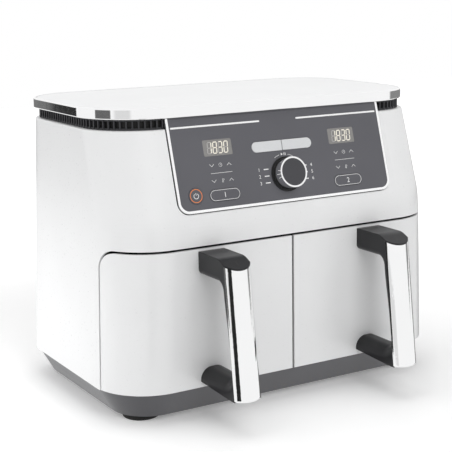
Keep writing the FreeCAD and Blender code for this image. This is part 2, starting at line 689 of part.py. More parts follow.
def drawer_zone(name, grow):
    """The prism that both drawer fronts fill, made larger by grow."""
    past = "2 * sizes.drawer_corner"
    drawing = outline(
        loose_sketch(f"{name}_outline", "YZ", f"-sizes.body_width / 2 - {past}"),
        (f"places.front - {past}", f"places.front + sizes.drawer_wrap + ({grow})"),
        (f"sizes.base_top - {past}", f"places.drawer_top + ({grow})"),
        f"sizes.drawer_corner + ({grow})",
    )
    return extrusion(name, drawing, f"sizes.body_width + 2 * {past}")


def wide(grow="0"):
    """The x range that spans the whole housing."""
    return (f"-sizes.body_width / 2 - ({grow})", f"sizes.body_width / 2 + ({grow})")


# ---------------------------------------------------------------- shell, base, feet
def add_shell():
    base, rim = "sizes.base_top", "places.rim_height"
    outer = form("shell_outer", "0", base, rim)
    inner = form("shell_inner", "sizes.shell_wall", f"{base} - sizes.overlap", f"{rim} - sizes.shell_wall")
    lip = (f"{rim} - 2 * sizes.shell_wall", f"{rim} + sizes.overlap")
    mouth = rim_slab("shell_mouth", "sizes.rim_lip", *lip)
    front = drawer_zone("shell_front_opening", "sizes.drawer_gap")
    half_panel = "(places.panel_half + sizes.panel_groove)"
    panel_low = "(places.fold_height + (sizes.panel_rise - sizes.panel_groove) * cos(sizes.front_lean))"
    behind = "places.rim_front + sizes.rim_lip + sizes.hatch_reach"
    hatch_outline = outline(
        loose_sketch("shell_panel_outline", "XZ", behind),
        (f"-{half_panel}", half_panel),
        (panel_low, "places.lid_bottom"),
        "sizes.panel_corner + sizes.panel_groove",
        "sizes.panel_top_corner",
    )
    hatch = extrusion("shell_panel_opening", hatch_outline, "sizes.body_depth / 4")
    joint = "sizes.cover_joint"
    rear = box(
        "shell_rear_opening",
        (f"-sizes.cover_width / 2 - {joint}", f"sizes.cover_width / 2 + {joint}"),
        BACK_ZONE,
        (f"places.cover_low - {joint}", f"places.cover_high + {joint}"),
    )
    gland = cylinder(
        "shell_gland_hole", "sizes.gland_x", BACK_ZONE, "places.gland_z", "sizes.gland_radius", "Y",
    )
    rim_z = value(rim)
    soft = fillet(
        "shell_soft", outer, "sizes.rim_soft",
        lambda edge: min(vertex.Z for vertex in edge.Vertexes) > rim_z - TOUCH,
    )
    node("outer_shell", cut("shell", soft, inner, mouth, front, hatch, rear, gland))


def cover_sheet(name, outer, inner, zone):
    """The layer of the housing's wall between two insets, inside a block."""
    base, rim = "sizes.base_top", "places.rim_height"
    layer = cut(
        f"{name}_layer",
        straight_form(f"{name}_outer", outer, base, rim),
        straight_form(f"{name}_inner", inner, *through(base, rim)),
    )
    return common(name, layer, zone)


def add_rear_cover():
    low, high, half = "places.cover_low", "places.cover_high", "sizes.cover_width / 2"
    wall, lap = "sizes.shell_wall", "sizes.cover_lap"
    skin_zone = box("cover_skin_zone", (f"-{half}", half), BACK_ZONE, (low, high))
    flange_zone = box(
        "cover_flange_zone",
        (f"-{half} - {lap}", f"{half} + {lap}"),
        BACK_ZONE,
        (f"{low} - {lap}", f"{high} + {lap}"),
    )
    skin = cover_sheet("cover_skin", "0", f"2 * {wall}", skin_zone)
    flange = cover_sheet("cover_flange", wall, f"2 * {wall}", flange_zone)
    far, near = f"({half} - sizes.louvre_margin)", "sizes.louvre_rib / 2"
    louvres = []
    for index in range(int(value(f"({high} - {low}) / 2 / sizes.louvre_pitch"))):
        start = f"({high} + {low}) / 2 + sizes.louvre_pitch * {index}"
        slot = (start, f"{start} + sizes.louvre_height")
        louvres.append(box(f"louvre_left_{index}", (f"-{far}", f"-{near}"), BACK_ZONE, slot))
        louvres.append(box(f"louvre_right_{index}", (near, far), BACK_ZONE, slot))
    node("rear_cover", cut("cover", fuse("cover_solid", skin, flange), *louvres))


def base_outline(name, height, inset):
    side = f"sizes.body_width / 2 - ({inset})"
    return outline(
        loose_sketch(name, "XY", height),
        (f"-({side})", side),
        (f"places.front + ({inset})", f"places.back - ({inset})"),
        f"sizes.front_corner - ({inset})",
        f"sizes.back_corner - ({inset})",
    )


def base_form(name, inset, low, high):
    """The tapering base drawn in by inset."""
    taper = "(sizes.base_inset - sizes.base_step) / (sizes.base_top - sizes.foot_height)"
    drawings = []
    for end, height in (("low", low), ("high", high)):
        setback = f"sizes.base_step + {taper} * (sizes.base_top - ({height})) + ({inset})"
        drawings.append(base_outline(f"{name}_{end}", height, setback))
    return loft(name, drawings)


def liner_posts():
    """Centres of the posts that carry the two cavities."""
    spread_x = "(places.liner_out - places.zone_offset - sizes.post_inset)"
    for sign in ("", "-"):
        for way in ("-", "+"):
            for y in ("places.liner_front + sizes.post_inset", "places.liner_back - sizes.post_inset"):
                yield f"{sign}(places.zone_offset {way} {spread_x})", y


def at_posts(name, z, radius):
    """One round bar on every post's axis."""
    return [cylinder(f"{name}_{index}", x, y, z, radius) for index, (x, y) in enumerate(liner_posts())]


def add_base():
    low, high = "sizes.foot_height", "sizes.base_top"
    under = f"{low} - sizes.overlap"
    solid = base_form("base_solid", "0", low, high)
    wall = "sizes.base_wall"
    hollow = base_form("base_hollow", wall, f"{low} + {wall}", f"{high} + sizes.overlap")
    posts = at_posts("base_post", (f"{low} + {wall} / 2", "sizes.liner_floor"), "sizes.post_radius")
    bores = at_posts(
        "base_bore", (under, f"{low} + sizes.base_screw + sizes.overlap"),
        "sizes.screw_radius + sizes.running_gap",
    )
    sinks = at_posts(
        "base_sink", (under, f"{low} + sizes.screw_head_height"), "sizes.screw_head + sizes.head_gap",
    )
    pan = fuse("base_fused", cut("base_pan", solid, hollow), *posts)
    node("base_tray", cut("base", pan, *bores, *sinks))

    feet = []
    ends = {"front": "places.front + sizes.foot_inset", "back": "places.back - sizes.foot_inset"}
    for side, x in (("left", "-sizes.foot_x"), ("right", "sizes.foot_x")):
        for end, y in ends.items():
            foot = cylinder(f"foot_{side}_{end}", x, y, ("0", low), "sizes.foot_radius")
            feet.append(fillet(
                f"foot_soft_{side}_{end}", foot, "sizes.foot_edge", lambda edge: edge.BoundBox.ZMax < TOUCH,
            ))
    node("rubber_feet", group("feet", *feet))


# ---------------------------------------------------------------- lid and air intake
def add_lid():
    grow = "-sizes.lid_overhang"
    corners = ("sizes.lid_front_corner - sizes.lid_overhang", "sizes.lid_back_corner - sizes.lid_overhang")
    low, top = "places.lid_bottom", "sizes.body_height"
    above = f"{top} + sizes.overlap"
    seat = "(sizes.body_height - sizes.lid_sink - sizes.top_thickness)"
    outer = rim_slab("lid_outer", grow, low, top, *corners)
    well = rim_slab("lid_well", f"{grow} + sizes.lid_wall", seat, above, *corners)
    throat = rim_slab("lid_throat", f"{grow} + sizes.lid_ledge", f"{low} - sizes.overlap", above, *corners)
    roof, floor = value(top), value(low)
    soft = fillet(
        "lid_edges", outer, "sizes.lid_soft",
        lambda edge: edge.BoundBox.ZMin > roof - TOUCH or edge.BoundBox.ZMax < floor + TOUCH,
    )
    node("lid_trim_ring", cut("lid_ring", soft, well, throat))
    inset = f"{grow} + sizes.lid_wall + sizes.lid_joint"
    node("top_panel", rim_slab("lid_panel", inset, seat, f"{top} - sizes.lid_sink", *corners))


def add_intake():
    low, high = "places.rim_height", "places.lid_bottom"
    whole = through(low, high)
    outer = rim_slab("vent_outer", "sizes.vent_inset", low, high)
    inner = rim_slab("vent_inner", "sizes.vent_inset + sizes.vent_wall", *whole)
    half = f"({half_width(low)} - sizes.front_corner)"
    near = "(places.rim_front + sizes.front_corner)"
    far = f"({back_at(low)} - sizes.back_corner)"
    slot = (f"{low} + sizes.vent_rail", f"{high} - sizes.vent_rail")
    opening = "(sizes.vent_pitch - sizes.vent_post)"
    slots = []
    for index in range(int(value(f"2 * {half} / sizes.vent_pitch"))):
        start = f"-{half} + sizes.vent_pitch * {index} + sizes.vent_post"
        slots.append(box(f"vent_long_{index}", (start, f"{start} + {opening}"), wide(), slot))
    for index in range(int(value(f"({far} - {near}) / sizes.vent_pitch"))):
        start = f"{near} + sizes.vent_pitch * {index} + sizes.vent_post"
        slots.append(box(f"vent_cross_{index}", wide(), (start, f"{start} + {opening}"), slot))
    gap = "(places.panel_half + sizes.panel_groove)"
    doorway = box("vent_doorway", (f"-{gap}", gap), ("places.front", "0"), whole)
    node("intake_vent_ring", cut("vent_ring", outer, inner, doorway, *slots))


# ---------------------------------------------------------------- front frame, cavities, runners
def basket_opening(name, y):
    """The block that a basket passes through, on the right."""
    half = "(places.basket_half + sizes.opening_margin)"
    return box(
        name, (f"places.zone_offset - {half}", f"places.zone_offset + {half}"), y,
        ("places.basket_floor - sizes.opening_margin", "places.basket_top + sizes.opening_margin"),
    )


def switch_heights():
    """Heights of the two drawer switches."""
    low = "sizes.liner_floor + sizes.switch_rise"
    return f"({low})", f"({low} + sizes.switch_spacing)"


def add_front_frame():
    base, low = "sizes.base_top", "sizes.foot_height + sizes.base_wall"
    inset = "sizes.shell_wall + sizes.nest_gap"
    under = "(places.drawer_top + sizes.drawer_gap)"
    roof = f"{under} + sizes.frame_flange"
    reach = ("places.front", "places.liner_front")
    inside = straight_form("frame_form", inset, base, "places.fold_height")
    plate = box("frame_plate", wide(), ("places.frame_front", "places.liner_front"), (base, roof))
    header = box("frame_header", wide(), reach, (under, roof))
    upper = common("frame_upper", inside, fuse("frame_blocks", plate, header))
    sill = common(
        "frame_sill",
        base_form("sill_form", "sizes.base_wall + sizes.nest_gap", low, base),
        box("sill_block", wide(), reach, (f"{base} - sizes.frame_flange", base)),
    )
    opening = basket_opening("frame_opening_right", ("places.front", "0"))
    holes = [
        cylinder(
            f"frame_switch_hole_{index}", "0", through("places.frame_front", "places.liner_front"), z,
            "sizes.switch_pin + sizes.face_gap", "Y",
        )
        for index, z in enumerate(switch_heights())
    ]
    node("front_frame", cut(
        "frame", fuse("frame_solid", upper, sill), opening, mirrored("frame_opening_left", opening), *holes,
    ))


def liner_box(name, inset, y):
    half = f"(places.liner_out - places.zone_offset - ({inset}))"
    return box(
        name, (f"places.zone_offset - {half}", f"places.zone_offset + {half}"), y,
        (f"sizes.liner_floor + ({inset})", f"places.liner_roof - ({inset})"),
    )


def heater_leads():
    """Where a heater's two leads pass through its cavity's top."""
    for way in ("-", "+"):
        yield "(places.zone_offset + sizes.heater_radius)", f"(places.fan_y {way} sizes.lead_spread)"


PROBE_PLACE = ("(places.zone_offset + sizes.heater_radius)", "(places.fan_y + sizes.heater_radius)")


def add_cavities():
    near, far = "places.liner_front", "places.liner_back"
    outer = liner_box("liner_outer", "0", (near, far))
    hollow = (f"{near} - sizes.overlap", f"{far} - sizes.liner_wall")
    inner = liner_box("liner_inner", "sizes.liner_wall", hollow)
    roof = ("places.liner_roof - 2 * sizes.liner_wall", "places.liner_roof + sizes.overlap")
    lead_hole = "sizes.lead_radius + sizes.lead_gap"
    holes = [on_fan_axis("liner_shaft_hole", roof, "sizes.rotor_shaft + sizes.shaft_room")]
    for index, (x, y) in enumerate(heater_leads()):
        holes.append(cylinder(f"liner_lead_hole_{index}", x, y, roof, lead_hole))
    holes.append(cylinder("liner_probe_hole", *PROBE_PLACE, roof, lead_hole))
    pair("cavity_liner", cut("liner", outer, inner, *holes))


def add_runners():
    along = ("places.liner_front + sizes.runner_start", "places.liner_back - sizes.runner_end")
    z = ("sizes.liner_floor + sizes.liner_wall", "places.basket_floor - sizes.face_gap")
    runners = []
    for place, way in (("inner", "-"), ("outer", "+")):
        centre = f"(places.zone_offset {way} sizes.runner_spread)"
        across = (f"{centre} - sizes.runner_width / 2", f"{centre} + sizes.runner_width / 2")
        runners.append(box(f"runner_{place}", across, along, z))
    node("drawer_runners", both_sides("runners", group("runners_right", *runners)))


def add_switches():
    """One switch for each drawer: a block behind the frame, a pin through it and a side paddle."""
    touch = "places.backplate_back + sizes.face_gap + sizes.switch_pin"
    near = "places.liner_front"
    paddles = (("-sizes.switch_paddle", "0"), ("0", "sizes.switch_paddle"))
    switches = []
    for index, (z, paddle) in enumerate(zip(switch_heights(), paddles)):
        block = box(
            f"switch_block_{index}",
            ("-sizes.switch_width / 2", "sizes.switch_width / 2"),
            (near, f"{near} + sizes.switch_depth"),
            (f"{z} - sizes.switch_height / 2", f"{z} + sizes.switch_height / 2"),
        )
        along = (touch, f"{near} + sizes.overlap")
        pin = cylinder(f"switch_pin_{index}", "0", along, z, "sizes.switch_pin", "Y")
        arm = cylinder(f"switch_paddle_{index}", paddle, touch, z, "sizes.switch_pin", "X")
        switches.append(fuse(f"switch_{index}", block, pin, arm))
    node("drawer_switches", group("switches", *switches))


# ---------------------------------------------------------------- heaters, fans, motors, deck
HEATER_TURNS = 3
COOKING_BLADES = 10
COOLING_BLADES = 12


def add_heaters():
    x, y, z = "places.zone_offset", "places.fan_y", "places.heater_height"
    roof = "places.liner_roof"
    collar = (roof, f"{roof} + sizes.bush_height")
    pieces = []
    for index in range(HEATER_TURNS):
        ring = doc.addObject("Part::Torus", f"heater_ring_{index}")
        turn = f"sizes.heater_radius - sizes.heater_pitch * {index}"
        bind(ring, Radius1=turn, Radius2="sizes.heater_tube")
        bind(ring, Placement__Base__x=x, Placement__Base__y=y, Placement__Base__z=z)
        pieces.append(ring)
    across = (f"{x} - sizes.heater_radius", f"{x} + sizes.heater_radius")
    pieces.append(cylinder("heater_link", across, y, z, "sizes.heater_link", "X"))
    for index, (lead_x, lead_y) in enumerate(heater_leads()):
        rise = (z, f"{roof} + sizes.lead_rise")
        pieces.append(cylinder(f"heater_lead_{index}", lead_x, lead_y, rise, "sizes.lead_radius"))
        pieces.append(cylinder(f"heater_bush_{index}", lead_x, lead_y, collar, "sizes.bush_radius"))
    node("heater_coils", both_sides("heaters", fuse("heater_right", *pieces)))

    rod_z = (f"{z} - sizes.probe_drop", f"{roof} + sizes.lead_rise")
    rod = cylinder("probe_rod", *PROBE_PLACE, rod_z, "sizes.lead_radius")
    head = cylinder("probe_head", *PROBE_PLACE, collar, "sizes.bush_radius")
    node("temperature_probes", both_sides("probes", fuse("probe_right", rod, head)))


def deck_legs():
    """Centres of the deck's legs, which stand on the cavities."""
    outer = "(places.liner_out - sizes.deck_inset - sizes.deck_leg / 2)"
    inner = "(places.zone_offset - sizes.leg_spread)"
    reach_y = "(sizes.deck_depth - sizes.deck_leg) / 2"
    for sign in ("-", ""):
        for x in (outer, inner):
            for way in ("-", "+"):
                yield f"{sign}{x}", f"(places.fan_y {way} {reach_y})"


def add_deck():
    low, high = "places.deck_height", "places.deck_top"
    width = "2 * (places.liner_out - sizes.deck_inset)"
    plate = box("deck_sheet", *centred("0", "places.fan_y", width, "sizes.deck_depth"), (low, high))
    leg_z = ("places.liner_roof", f"{low} + sizes.deck_thickness / 2")
    legs = [
        box(f"deck_leg_{index}", *centred(x, y, "sizes.deck_leg", "sizes.deck_leg"), leg_z)
        for index, (x, y) in enumerate(deck_legs())
    ]
    holes = [
        cylinder(f"deck_hole_{side}", x, "places.fan_y", through(low, high), "sizes.deck_hole")
        for side, x in (("left", "-places.zone_offset"), ("right", "places.zone_offset"))
    ]
    node("chassis_deck", cut("deck", fuse("deck_solid", plate, *legs), *holes))


def fan(name, z, radius, height, blades):
    """A hub, a disc and upright blades around the right-hand fan shaft."""
    top = f"{z} + {height}"
    hub = on_fan_axis(f"{name}_hub", (z, top), "sizes.fan_hub")
    disc = on_fan_axis(f"{name}_disc", (f"{top} - sizes.fan_sheet", top), radius)
    vanes = []
    for index in range(blades):
        vane = doc.addObject("Part::Box", f"{name}_vane_{index}")
        bind(vane, Length=f"{radius} - sizes.vane_start", Width="sizes.fan_sheet",
             Height=f"{height} - sizes.fan_sheet / 2")
        turn = 360.0 * index / blades
        vane.setExpression("Placement", resolve(
            f"placement(vector(places.zone_offset; places.fan_y; {z}); rotation(vector(0; 0; 1); {turn}))"
            " * placement(vector(sizes.vane_start; 0; 0); rotation(vector(0; 0; 1); sizes.vane_turn))"
        ))
        vanes.append(vane)
    bore = on_fan_axis(f"{name}_bore", through(z, top), "sizes.rotor_shaft")
    envelope = on_fan_axis(f"{name}_envelope", (z, top), radius)
    body = common(f"{name}_body", fuse(f"{name}_solid", hub, disc, *vanes), envelope)
    return cut(name, body, bore)


def add_rotors():
    cooler = "(places.motor_top + sizes.cooler_lift)"
    pair("cooking_fan", fan(
        "cooking", "places.fan_floor", "sizes.fan_radius", "sizes.fan_height", COOKING_BLADES,
    ))
    pair("cooling_fan", fan(
        "cooling", cooler, "sizes.cooler_radius", "sizes.cooler_height", COOLING_BLADES,
    ))
    shaft_z = ("places.fan_floor - sizes.shaft_end", f"{cooler} + sizes.cooler_height + sizes.shaft_end")
    pair("motor_shaft", on_fan_axis("shaft", shaft_z, "sizes.rotor_shaft"))

    low, high = "places.deck_top", "places.motor_top"
    boss_top = f"{high} + sizes.boss_height"
    can = on_fan_axis("motor_can", (low, high), "sizes.motor_radius")
    boss = on_fan_axis("motor_boss", (high, boss_top), "sizes.boss_radius")
    bore = on_fan_axis("motor_bore", through(low, boss_top), "sizes.rotor_shaft + sizes.running_gap")
    node("fan_motors", both_sides("motors", cut("motor_right", fuse("motor_solid", can, boss), bore)))


# the power board's blocks: centre from the board's left and front edges, width, depth, height
POWER_BLOCKS = {
    "transformer": (23, 22, 30, 32, 26),
    "relay_one": (57, 19, 14, 22, 16),
    "relay_two": (77, 19, 14, 22, 16),
}
# its round capacitors: centre from the same edges, radius, height
POWER_CANS = {
    "can_one": (20, 58, 7.5, 22),
    "can_two": (40, 58, 7.5, 22),
}


def add_power_board():
    west, near = "(-sizes.power_width / 2)", "(places.fan_y - sizes.power_start)"
    east, far = "(sizes.power_width / 2)", f"({near} + sizes.power_depth)"
    low = "(places.deck_top + sizes.power_lift)"
    top = f"({low} + sizes.board_thickness)"
    inset = "sizes.power_post_inset"
    pieces = [box("power_plate", (west, east), (near, far), (low, top))]
    for side, x in (("left", f"{west} + {inset}"), ("right", f"{east} - {inset}")):
        for end, y in (("front", f"{near} + {inset}"), ("back", f"{far} - {inset}")):
            post_z = ("places.deck_top", low)
            pieces.append(cylinder(f"power_post_{side}_{end}", x, y, post_z, "sizes.power_post"))
    for name, (x, y, width, depth, height) in POWER_BLOCKS.items():
        area = centred(f"({west} + {x})", f"({near} + {y})", width, depth)
        pieces.append(box(f"power_{name}", *area, (top, f"{top} + {height}")))
    for name, (x, y, radius, height) in POWER_CANS.items():
        can_z = (top, f"{top} + {height}")
        pieces.append(cylinder(f"power_{name}", f"{west} + {x}", f"{near} + {y}", can_z, radius))
    node("power_board", group("power", *pieces))


# ---------------------------------------------------------------- drawers
def right_half(name):
    """The space right of the joint between the drawers."""
    return box(
        name,
        ("sizes.drawer_gap / 2", "sizes.body_width / 2 + sizes.overlap"),
        ("places.front - sizes.overlap", "places.liner_front"),
        ("sizes.base_top + sizes.drawer_rise", "places.fold_height"),
    )


def handle_screw_heights():
    """Heights of the two screws that hold a handle, in the middle of its arm and of its foot."""
    arm = "(places.handle_top - sizes.handle_arm / 2)"
    foot = "(places.handle_bottom + (sizes.handle_foot + sizes.foot_taper) / 2)"
    return arm, foot


def at_handle_screws(name, y, radius):
    """One round bar on each handle screw's axis."""
    return [
        cylinder(f"{name}_{index}", "places.zone_offset", y, z, radius, "Y")
        for index, z in enumerate(handle_screw_heights())
    ]


def add_drawer_fronts():
    front, wall = "places.front", "sizes.drawer_wall"
    outer = straight_form("door_outer", "0", "sizes.base_top", "places.fold_height")
    inner = straight_form("door_inner", wall, *through("sizes.base_top", "places.fold_height"))
    skin = cut("door_skin", outer, inner)
    face = common("door_right", skin, drawer_zone("door_zone", "0"), right_half("door_half"))
    room = "sizes.screw_radius + sizes.face_gap"
    holes = at_handle_screws("door_screw_hole", through(front, f"{front} + {wall}"), room)
    pair("drawer_front", cut("door_bored", face, *holes))


def add_backplates():
    front, back = "places.front", "places.backplate_back"
    base, top = "sizes.base_top", "places.fold_height"
    wall, inset = "sizes.backplate_wall", "sizes.drawer_wall + sizes.nest_gap"
    near_x = "sizes.drawer_gap / 2 + sizes.backplate_margin"
    far_x = "places.liner_out + sizes.backplate_reach"
    low_z = "sizes.base_top + sizes.backplate_margin"
    high_z = "places.drawer_top - sizes.backplate_margin"
    block = common(
        "backplate_block",
        straight_form("backplate_form", inset, base, top),
        box("backplate_zone", (near_x, far_x), (front, back), (low_z, high_z)),
    )
    core = common(
        "backplate_core",
        straight_form("core_form", f"{inset} + {wall}", base, top),
        box(
            "core_zone",
            (f"{near_x} + {wall}", f"{far_x} - {wall}"),
            (front, f"{back} - sizes.backplate_sheet"),
            (f"{low_z} + {wall}", f"{high_z} - {wall}"),
        ),
    )
    window = box(
        "backplate_window",
        ("places.zone_offset - sizes.window_half", "places.zone_offset + sizes.window_half"),
        (front, f"{front} + sizes.window_margin"),
        ("sizes.base_top + sizes.window_margin", "places.drawer_top - sizes.window_margin"),
    )
    head = f"({back} - sizes.screw_head_height - sizes.head_sink)"
    behind = f"{back} + sizes.overlap"
    boss = (f"{front} + sizes.drawer_wall", f"{back} - sizes.overlap")
    bosses = at_handle_screws("backplate_boss", boss, "sizes.screw_boss")
    bores = at_handle_screws("backplate_bore", (front, behind), "sizes.screw_radius + sizes.running_gap")
    sinks = at_handle_screws("backplate_sink", (head, behind), "sizes.screw_head + sizes.head_gap")
    tray = fuse("backplate_fused", cut("backplate_hollow", block, core, window), *bosses)
    pair("drawer_backplate", cut("backplate", tray, *bores, *sinks))

    head_y = (head, f"{head} + sizes.screw_head_height")
    shanks = at_handle_screws("handle_screw", (f"{front} - sizes.handle_screw", head), "sizes.screw_radius")
    heads = at_handle_screws("handle_screw_head", head_y, "sizes.screw_head")
    screws = [fuse(f"handle_screw_whole_{index}", *both) for index, both in enumerate(zip(shanks, heads))]
    pair("handle_screws", group("handle_screw_set", *screws))


def basket_form(name, inset, low, high):
    """The basket's tapering block, drawn in by inset, on the right."""
    drawings = []
    for end, z, draft in (("low", low, "sizes.basket_draft"), ("high", high, "0")):
        half = f"(places.basket_half - ({draft}) - ({inset}))"
        drawings.append(outline(
            loose_sketch(f"{name}_{end}", "XY", z),
            (f"places.zone_offset - {half}", f"places.zone_offset + {half}"),
            (f"(places.backplate_back + ({inset}))", f"(places.basket_back - ({draft}) - ({inset}))"),
            f"sizes.basket_corner - ({inset})",
        ))
    return loft(name, drawings)


def add_baskets():
    low, high, wall = "places.basket_floor", "places.basket_top", "sizes.basket_wall"
    solid = basket_form("basket_solid", "0", low, high)
    hollow = basket_form("basket_hollow", wall, f"{low} + {wall}", f"{high} + sizes.overlap")
    pair("basket", cut("basket", solid, hollow))


def slot_steps(half, size, pitch):
    """Slot places from the plate's middle, as many as fit inside its border."""
    reach = int(value(f"({half} - {size} / 2 - sizes.slot_border) / {pitch}"))
    return range(-reach, reach + 1), reach


def add_crispers():
    inset = "(sizes.basket_wall + sizes.plate_clearance + sizes.basket_draft)"
    half_x = f"(places.basket_half - {inset})"
    near, far = f"(places.backplate_back + {inset})", f"(places.basket_back - {inset})"
    middle_y, half_y = f"(({near} + {far}) / 2)", f"(({far} - {near}) / 2)"
    low = "(places.basket_floor + sizes.basket_wall + sizes.plate_rise)"
    body = make_body("crisper")
    area = ((f"places.zone_offset - {half_x}", f"places.zone_offset + {half_x}"), (near, far))
    slab(body, "crisper_outline", low, area, f"sizes.basket_corner - {inset}", "sizes.plate_thickness")
    columns, last_column = slot_steps(half_x, "sizes.slot_width", "sizes.slot_pitch_x")
    rows, last_row = slot_steps(half_y, "sizes.slot_length", "sizes.slot_pitch_y")
    slots = []
    for column in columns:
        for row in rows:
            if abs(column) == last_column and abs(row) == last_row:
                continue
            x = f"(places.zone_offset + sizes.slot_pitch_x * {column})"
            y = f"({middle_y} + sizes.slot_pitch_y * {row})"
            hole = centred(x, y, "sizes.slot_width", "sizes.slot_length")
            name = f"crisper_slot_{column + last_column}_{row + last_row}"
            slots.append(box(name, *hole, through(low, f"{low} + sizes.plate_thickness")))
    pair("crisper_plate", cut("crisper_plate", body, *slots))

    foot_z = ("places.basket_floor + sizes.basket_wall + sizes.face_gap", low)
    reach_x, reach_y = f"({half_x} - sizes.bumper_inset)", f"({half_y} - sizes.bumper_inset)"
    bumpers = []
    for side in ("-", "+"):
        for end in ("-", "+"):
            x, y = f"places.zone_offset {side} {reach_x}", f"{middle_y} {end} {reach_y}"
            bumpers.append(cylinder(f"bumper_{len(bumpers)}", x, y, foot_z, "sizes.bumper_radius"))
    pair("crisper_bumpers", group("bumpers", *bumpers))


# ---------------------------------------------------------------- handles
def handle_y(height):
    """The chord line's place at a height: the line where the bright cover meets the grip."""
    slope = "sizes.handle_lean / (places.handle_top - places.handle_bottom)"
    return f"(places.trim_low_y + (({height}) - places.handle_bottom) * {slope})"


def cover_section(name, height, chord_y):
    """A circle's segment: the chord lies on the grip, the bow faces forward."""
    drawing = loose_sketch(name, "XY", height)
    half = "(sizes.handle_width / 2)"
    radius = f"(({half} * {half} + sizes.trim_bulge * sizes.trim_bulge) / (2 * sizes.trim_bulge))"
    west, east = value(f"places.zone_offset - {half}"), value(f"places.zone_offset + {half}")
    y = value(chord_y)
    crown = Vector((west + east) / 2, y - value("sizes.trim_bulge"), 0)
    bow = Part.Arc(Vector(west, y, 0), crown, Vector(east, y, 0))
    drawing.addGeometry([Part.LineSegment(Vector(east, y, 0), Vector(west, y, 0)), bow])
    drawing.addConstraint(Sketcher.Constraint("Coincident", 0, 2, 1, 1))
    drawing.addConstraint(Sketcher.Constraint("Coincident", 1, 2, 0, 1))
    dimension(drawing, "DistanceX", (-1, 1, 0, 2), f"places.zone_offset - {half}")
    dimension(drawing, "DistanceX", (-1, 1, 0, 1), f"places.zone_offset + {half}")
    dimension(drawing, "DistanceY", (-1, 1, 0, 2), chord_y)
    dimension(drawing, "DistanceY", (-1, 1, 0, 1), chord_y)
    dimension(drawing, "Radius", (1,), radius)
    return drawing


def cover_block(name, low, high):
    """The bowed front of a handle between two heights."""
    return loft(name, [
        cover_section(f"{name}_{end}", height, handle_y(height))
        for end, height in (("low", low), ("high", high))
    ])


def over_slope(name, top, drop):
    """All that lies over the handle's top where it falls to its tip, lowered by a drop."""
    knee = f"({handle_y(top)} - sizes.trim_bulge + sizes.cap_start)"
    beyond = f"({knee} - 2 * sizes.cap_start)"
    body = make_body(name)
    body.setExpression("Placement.Base.x", resolve("places.zone_offset"))
    profile = polygon(body_sketch(body, f"{name}_profile", "YZ"), [
        (knee, f"{top} - {drop}"),
        (knee, f"{top} + sizes.cap_fall"),
        (beyond, f"{top} + sizes.cap_fall"),
        (beyond, f"{top} - {drop} - 2 * sizes.cap_fall"),
    ])
    pad(body, profile, "2 * sizes.handle_width", midplane=True)
    return body


def handle_body(top, arm, foot, bottom):
    """The handle's side view, a bracket open towards the drawer, as wide as the handle."""
    grip = "sizes.handle_grip"
    body = make_body("handle")
    body.setExpression("Placement.Base.x", resolve("places.zone_offset"))
    profile = polygon(body_sketch(body, "handle_profile", "YZ"), [
        ("places.front", top),
        ("places.front", arm),
        (f"{handle_y(arm)} + {grip}", arm),
        (f"{handle_y(foot)} + {grip}", foot),
        ("places.front", foot),
        ("places.front", f"{bottom} + sizes.foot_taper"),
        (f"{handle_y(bottom)} + {grip}", bottom),
        (handle_y(bottom), bottom),
        (handle_y(top), top),
    ])
    pad(body, profile, "sizes.handle_width", midplane=True)
    return body


def inner_radii(shape, front, arm, foot):
    """Each edge that runs along the handle's inside, with the radius at both of its ends."""
    small, large = value("sizes.handle_soft"), value("sizes.foot_soft")
    bend = foot + value("sizes.handle_round + 2 * sizes.overlap")
    rows = []
    for index, edge in enumerate(shape.Edges, start=1):
        room = edge.BoundBox
        lengthwise = room.XLength < TOUCH and room.YMin < front - value("sizes.overlap")
        if lengthwise and foot - TOUCH < room.ZMin and room.ZMax < arm + TOUCH:
            rows.append((index, *[large if vertex.Z < bend else small for vertex in edge.Vertexes]))
    return rows


